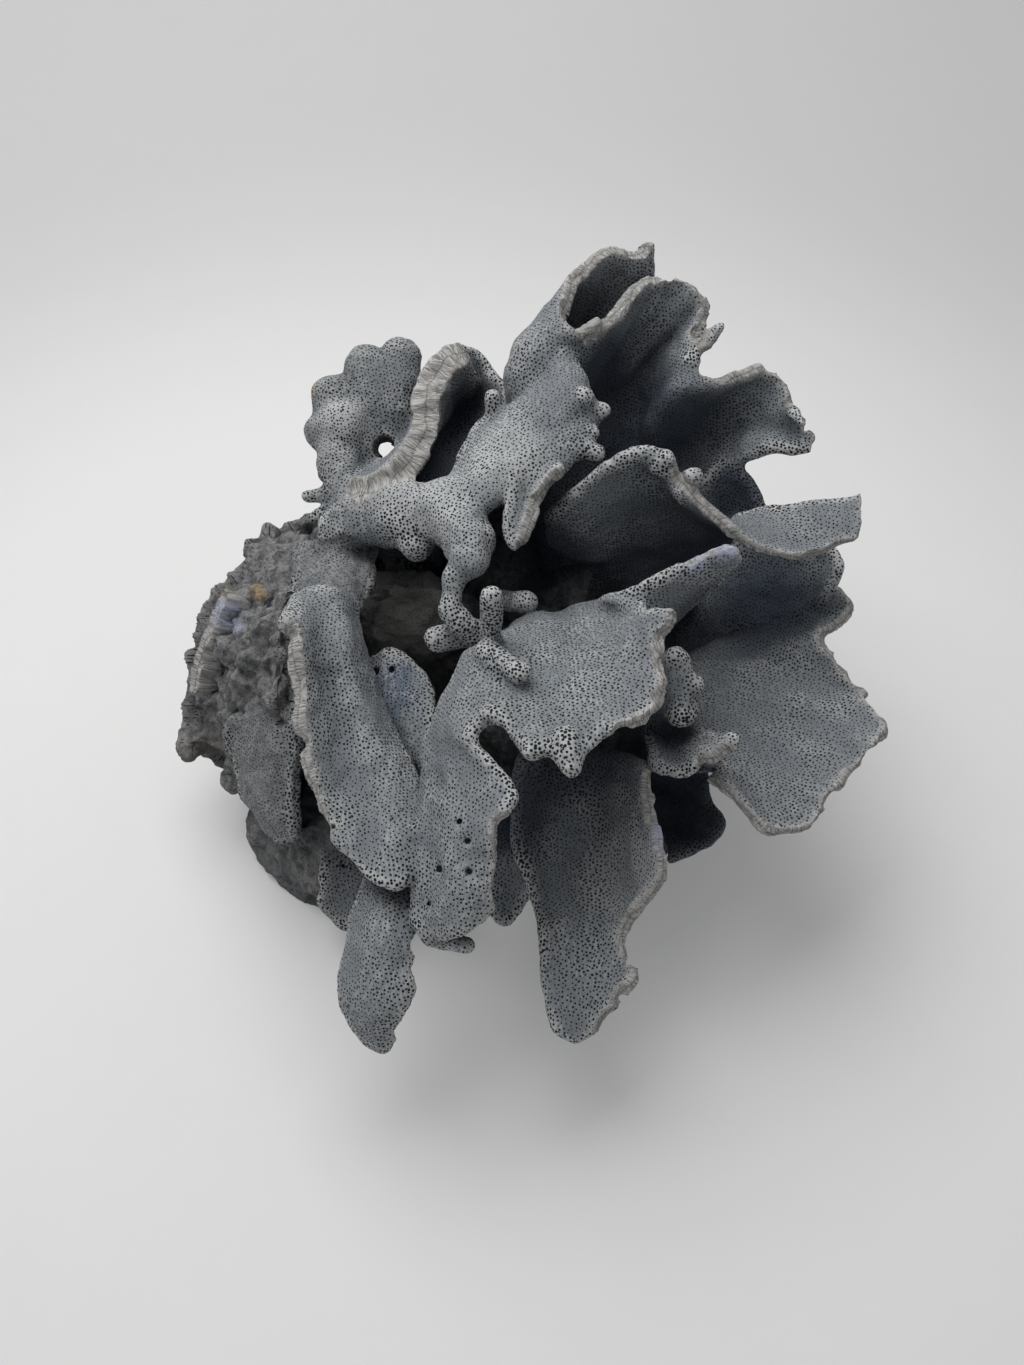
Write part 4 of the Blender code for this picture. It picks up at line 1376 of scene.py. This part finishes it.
ROW_PITCH = math.sqrt(0.75)  # a honeycomb's rows are this much closer than its cells
PORE_PITCH = 1.38  # from pore to pore, mm
PORE_RADIUS = 0.33  # on a frond's faces, mm
TIP_EXTRA = 0.13  # what is added to that at rounded rims and on thin pegs, mm

PORE_BLACK = (0.009, 0.011, 0.014)
BLUE_GREY, MID_GREY, PALE_GREY = (0.135, 0.153, 0.170), (0.27, 0.285, 0.297), (0.50, 0.508, 0.506)
CALM_OLD = (0.075, 0.078, 0.082), (0.185, 0.183, 0.179)
ROUGH_OLD = (0.042, 0.043, 0.045), (0.32, 0.312, 0.30)
OLD_CREVICE, OLD_RIDGE = (0.25, 0.24, 0.23), (0.40, 0.395, 0.38)
TORN_EDGE, BLEACH_AND_HIGHLIGHT = (0.42, 0.41, 0.39), (0.52, 0.53, 0.53)
DUST_LAYERS = (0.20, 0.195, 0.185), (0.36, 0.35, 0.33)
CAVITY_SHADE, DEEP_BLUE_AND_SHADE = (0.07, 0.095, 0.15), (0.045, 0.055, 0.078)
GROWTH_LINE, FRACTURE, SEPTUM = (0.20, 0.195, 0.185), (0.56, 0.545, 0.515), (0.34, 0.34, 0.36)
TINTS = {
    "orange": (0.50, 0.33, 0.15), "brown": (0.19, 0.165, 0.135),
    "lilac": (0.46, 0.50, 0.66), "navy_and_shade": (0.10, 0.13, 0.185),
}


class Skeleton(Nodes):
    """The colony's material: blue-grey, full of pores, pale where it is broken, with painted shade
    in its hollows and painted highlights on some patches.
    """

    def __init__(self, name):
        super().__init__(name)
        place = self.add("TexCoord").outputs["Object"]
        self.place = self.add("VectorMath", {0: place, 3: 1 / MM}, operation="SCALE").outputs[0]
        self.broken, self.rounded, self.torn = map(self.fact, ("broken", "rounded", "torn"))
        self.old, self.cavity, self.ridge = map(self.fact, ("old", "cavity", "ridge"))
        self.lane, self.along, self.across = map(self.fact, ("lane", "along", "across"))
        self.grain = self.noise(self.place, 2.6, 4, 0.7)
        self.patches = self.noise(self.place, 0.07, 3, 0.55)
        bent = self.plus(self.lane, self.times(self.noise(self.place, 0.08), 6))
        self.fibres = self.noise(
            self.flat(self.times(bent, 1.6), self.times(self.along, 0.3)), 1.0, 3, 0.6)
        self.septa = self.noise(self.flat(
            self.times(self.fact("run"), 2.0), self.times(self.across, 0.22)), 1.0, 3, 0.7)
        self.tip = self.between(
            self.plus(self.rounded, self.times(self.plus(self.patches, -0.5), 0.5)), 0.3, 0.7)
        self.light = self.lightness()
        self.paint()

    def pores(self):
        """Round openings in staggered, uneven rows: from 0 amid a pore to 1 at its rim and on."""
        chart = self.add("Attribute", attribute_name="chart").outputs["Vector"]
        u, v, _ = self.parts(chart)
        u, v = self.math("DIVIDE", u, PORE_PITCH), self.math("DIVIDE", v, PORE_PITCH)
        row = self.math("DIVIDE", v, ROW_PITCH)
        lattice = self.flat(self.math("MULTIPLY_ADD", row, -0.5, u), row)
        seeds = self.add("TexVoronoi", {"Vector": lattice, "Scale": 1.0, "Randomness": 0.55},
                         voronoi_dimensions="2D")
        seed_u, seed_row, _ = self.parts(seeds.outputs["Position"])
        off_u = self.math("SUBTRACT", self.math("MULTIPLY_ADD", seed_row, 0.5, seed_u), u)
        off_v = self.math("MULTIPLY_ADD", seed_row, ROW_PITCH, self.times(v, -1))
        odd = self.add("SeparateColor", {0: seeds.outputs["Color"]}).outputs[0]
        wide = self.times(self.pore_radius(), self.between(odd, 0.0, 1.0, 0.78, 1.15))
        wide = self.math("MAXIMUM", self.math("DIVIDE", wide, PORE_PITCH), 0.01)
        return self.math("DIVIDE", self.vector("LENGTH", self.flat(off_u, off_v)), wide)

    def pore_radius(self):
        """Pores narrow in cavities and on old surfaces, and there are none on a fracture."""
        return self.times(
            self.between(self.cavity, 0.8, 0.98, 1.0, 0.75),
            self.between(self.old, 0.3, 0.9, 1.0, 0.45),
            self.between(self.broken, 0.2, 0.8, 1.0, 0.0),
            self.between(self.patches, 0.3, 0.7, 0.72, 1.15),
            self.math("MULTIPLY_ADD", self.tip, TIP_EXTRA, PORE_RADIUS),
        )

    def lightness(self):
        """Ridges and tips are paler than hollows, with fibres, grain and soft patches."""
        light = self.math("MULTIPLY_ADD", self.ridge, 0.5, 0.5)
        light = self.plus(light, self.between(self.patches, 0.25, 0.75, -0.12, 0.12))
        light = self.plus(light, self.between(self.fibres, 0.3, 0.7, -0.13, 0.13))
        light = self.plus(light, self.between(self.grain, 0.3, 0.7, -0.06, 0.06))
        return self.math("ADD", light, self.times(self.tip, 0.12), clamp=True)

    def living(self):
        dark = self.mix(self.light, BLUE_GREY, MID_GREY)
        return self.mix(self.between(self.light, 0.45, 1.0), dark, PALE_GREY)

    def aged(self):
        """Old skeleton: rough and spotty on the walls, calmer on the mound."""
        grit = self.between(self.noise(self.place, 0.35, 5, 0.7), 0.35, 0.65)
        calm_share = self.times(
            self.fact("mound"), self.between(self.patches, 0.4, 0.6, 1.0, 0.4))
        colour = self.mix(calm_share, self.mix(grit, *ROUGH_OLD), self.mix(grit, *CALM_OLD))
        colour = self.darken(colour, self.between(self.ridge, 0.1, -0.5), OLD_CREVICE)
        return self.mix(self.between(self.ridge, 0.2, 0.9), colour, OLD_RIDGE)

    def dusted_and_shaded(self, colour):
        """Dust lies in layers in the open cup, and hollows get painted shade that the dust patches
        take away again.
        """
        # On old skin the dust patches are layers of dust; on any skin they also take away the
        # painted shade, a painted lightening.
        dust_and_shade_lift = self.fact("dust_and_shade_lift")
        layers = self.noise(
            self.vector("MULTIPLY", self.place, (0.06, 0.06, 0.45)), 1.0, 4, 0.6)
        colour = self.mix(self.times(dust_and_shade_lift, self.old), colour,
                          self.mix(self.between(layers, 0.35, 0.65), *DUST_LAYERS))
        # Painted shade: hollows that see little sky are darkened towards the cavity shade colour,
        # less on old skin and under the dust patches.
        start = self.between(self.old, 0.3, 0.9, 0.35, 0.52)
        shade = self.times(
            self.between(self.cavity, start, 0.98),
            self.between(self.old, 0.3, 0.9, 1.0, 0.8),
            self.between(dust_and_shade_lift, 0.0, 1.0, 1.0, 0.15),
        )
        return self.darken(colour, shade, CAVITY_SHADE)

    def fractured(self):
        """A broken rim: septa stand across it, and a dark growth line runs along its middle."""
        off_line = self.plus(self.across, self.times(self.plus(self.patches, -0.5), 2.4))
        line = self.between(self.math("ABSOLUTE", off_line), 0.1, 0.5)
        line = self.math("MAXIMUM", line, self.between(self.grain, 0.4, 0.6))
        colour = self.mix(line, GROWTH_LINE, FRACTURE)
        return self.darken(colour, self.between(self.septa, 0.38, 0.58, 0.95, 0.0), SEPTUM)

    def stained_and_shaded(self, colour):
        spots = self.between(self.noise(self.place, 0.55, 4, 0.7), 0.4, 0.55)
        # The navy patches darken the inner lobe deep in the cup: partly its darker blue, partly
        # painted shade.
        for kind, tint in TINTS.items():
            colour = self.mix(self.times(self.fact(kind), spots, 0.75), colour, tint)
        # Painted shade with some deeper blue of the skeleton: the deep patches darken the shaded
        # faces of the back fan and of the fronds on the right.
        return self.mix(self.times(self.fact("deep"), 0.88), colour, DEEP_BLUE_AND_SHADE)

    def relief(self, pore):
        return self.plus(
            self.times(self.between(pore, 0.2, 1.15), 0.5),
            self.times(self.fibres, 0.3),
            self.times(self.grain, 0.15),
            self.times(self.noise(self.place, 1.1, 4, 0.7), self.times(self.old, 2.2)),
            self.times(self.septa, self.times(self.broken, 1.4)),
        )

    def paint(self):
        pore = self.pores()
        colour = self.mix(self.times(self.old, 0.85), self.living(), self.aged())
        colour = self.mix(self.times(self.torn, 0.3), colour, TORN_EDGE)
        # Painted highlight, partly bleached skeleton: the pale patches whiten the skin where light
        # falls strongly on it, more where it is already light.
        bleach_and_highlight_share = self.times(self.fact("pale"), self.between(self.light, 0.2, 0.9, 0.3, 0.75))
        colour = self.mix(bleach_and_highlight_share, colour, BLEACH_AND_HIGHLIGHT)
        colour = self.dusted_and_shaded(colour)
        colour = self.mix(self.broken, colour, self.fractured())
        colour = self.stained_and_shaded(colour)
        colour = self.mix(self.between(pore, 0.8, 1.12), PORE_BLACK, colour)
        bump = self.add("Bump", {"Strength": 0.9, "Distance": 0.0007, "Height": self.relief(pore)})
        self.link(bump.outputs[0], self.shader.inputs["Normal"])
        self.link(colour, self.shader.inputs["Base Color"])
        self.link(self.between(self.grain, 0.2, 0.8, 0.95, 0.8), self.shader.inputs["Roughness"])
        self.shader.inputs["Specular IOR Level"].default_value = 0.25


def make_colony():
    verts, faces, normals, soft, facts, behind, before = make_skin()
    living = Skeleton("living_skeleton").material
    old = Skeleton("old_skeleton").material
    keys = list(facts)
    for i, name in enumerate([*FRONDS, "holdfast"], start=1):
        mine = np.concatenate([faces[behind == i], faces[before == i][:, ::-1]])
        points, corners, directions, soft_directions, *values = keep_used(
            verts, mine, normals, soft, *(facts[key] for key in keys)
        )
        aged = name in ("holdfast", "left_wall")
        piece = make_piece(
            name + "_skin", points, corners, directions, dict(zip(keys, values)),
            old if aged else living, soft_directions,
        )
        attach(piece, "root")
        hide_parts(name)


FLOOR_REACH = 1.6  # the floor's half width, and how far it runs towards the front, m
SWEEP_START, SWEEP_RADIUS, SWEEP_STEPS = 0.30, 0.55, 24  # where and how it turns up
WALL_TOP = 1.6


def make_floor():
    """A pale floor that sweeps up behind the colony, darkened away from its middle by a painted
    falloff of light, and glowing a little as a painted light that lifts its shadows.
    """
    profile = [(-FLOOR_REACH, 0.0), (SWEEP_START, 0.0)]
    for k in range(1, SWEEP_STEPS + 1):
        angle = math.radians(90) * k / SWEEP_STEPS
        profile.append((
            SWEEP_START + SWEEP_RADIUS * math.sin(angle),
            SWEEP_RADIUS * (1 - math.cos(angle)),
        ))
    profile.append((SWEEP_START + SWEEP_RADIUS, WALL_TOP))
    mesh = bmesh.new()
    lines = [
        [mesh.verts.new((x, y, z)) for y, z in profile] for x in (-FLOOR_REACH, FLOOR_REACH)
    ]
    for i in range(len(profile) - 1):
        mesh.faces.new((lines[0][i], lines[1][i], lines[1][i + 1], lines[0][i + 1]))
    data = bpy.data.meshes.new("floor")
    mesh.to_mesh(data)
    mesh.free()
    data.polygons.foreach_set("use_smooth", [True] * len(data.polygons))
    floor = bpy.data.objects.new("floor", data)
    bpy.context.scene.collection.objects.link(floor)
    nodes = Nodes("floor")
    paper = nodes.noise(nodes.add("TexCoord").outputs["Object"], 60, 4, 0.6)
    near = nodes.mix(paper, (0.60, 0.595, 0.59), (0.62, 0.615, 0.61))
    # Painted light falloff: the floor is darkened away from its middle, as if light pooled under
    # the colony.
    away = nodes.vector("LENGTH", nodes.add("TexCoord").outputs["Object"])
    nodes.link(nodes.darken(near, nodes.between(away, 0.18, 0.5), (0.68, 0.68, 0.685)),
               nodes.shader.inputs["Base Color"])
    # Painted light: the floor glows a little to lift the shadows on it.
    nodes.shader.inputs["Emission Color"].default_value = (1, 1, 1, 1)
    nodes.shader.inputs["Emission Strength"].default_value = 0.16
    nodes.shader.inputs["Roughness"].default_value = 0.65
    nodes.shader.inputs["Specular IOR Level"].default_value = 0.25
    data.materials.append(nodes.material)


def add_lamp(name, place, target, size, power):
    lamp = bpy.data.lights.new(name, "AREA")
    lamp.size = size
    lamp.energy = power
    obj = bpy.data.objects.new(name, lamp)
    obj.location = place
    obj.rotation_euler = (Vector(target) - Vector(place)).to_track_quat("-Z", "Y").to_euler()
    bpy.context.scene.collection.objects.link(obj)


def make_lights():
    add_lamp("top_softbox", (-0.22, 0.3, 0.95), (0, 0.02, 0.02), 0.9, 8.8)
    add_lamp("front_fill", (-0.9, -0.9, 0.9), (0, 0, 0.05), 1.2, 1.6)
    world = bpy.data.worlds.new("studio")
    world.use_nodes = True
    background = world.node_tree.nodes["Background"]
    background.inputs["Color"].default_value = (0.95, 0.97, 1, 1)
    background.inputs["Strength"].default_value = 0.27
    bpy.context.scene.world = world


CAMERA_DISTANCE = 0.462


def make_camera():
    """A camera above the front, as the owner of such a piece would stand over it."""
    camera = bpy.data.cameras.new("camera")
    camera.sensor_width = 24
    camera.lens = 24.6
    obj = bpy.data.objects.new("camera", camera)
    target = Vector((-CUT_CENTRE[0] * MM, -CUT_CENTRE[1] * MM, PLANE_HEIGHT * MM))
    obj.location = target + Vector((0, -math.cos(LEAN), math.sin(LEAN))) * CAMERA_DISTANCE
    obj.rotation_euler = (math.pi / 2 - LEAN, 0, 0)
    bpy.context.scene.collection.objects.link(obj)
    bpy.context.scene.camera = obj


make_colony()
make_floor()
make_lights()
make_camera()
bpy.context.scene.view_settings.view_transform = "Standard"
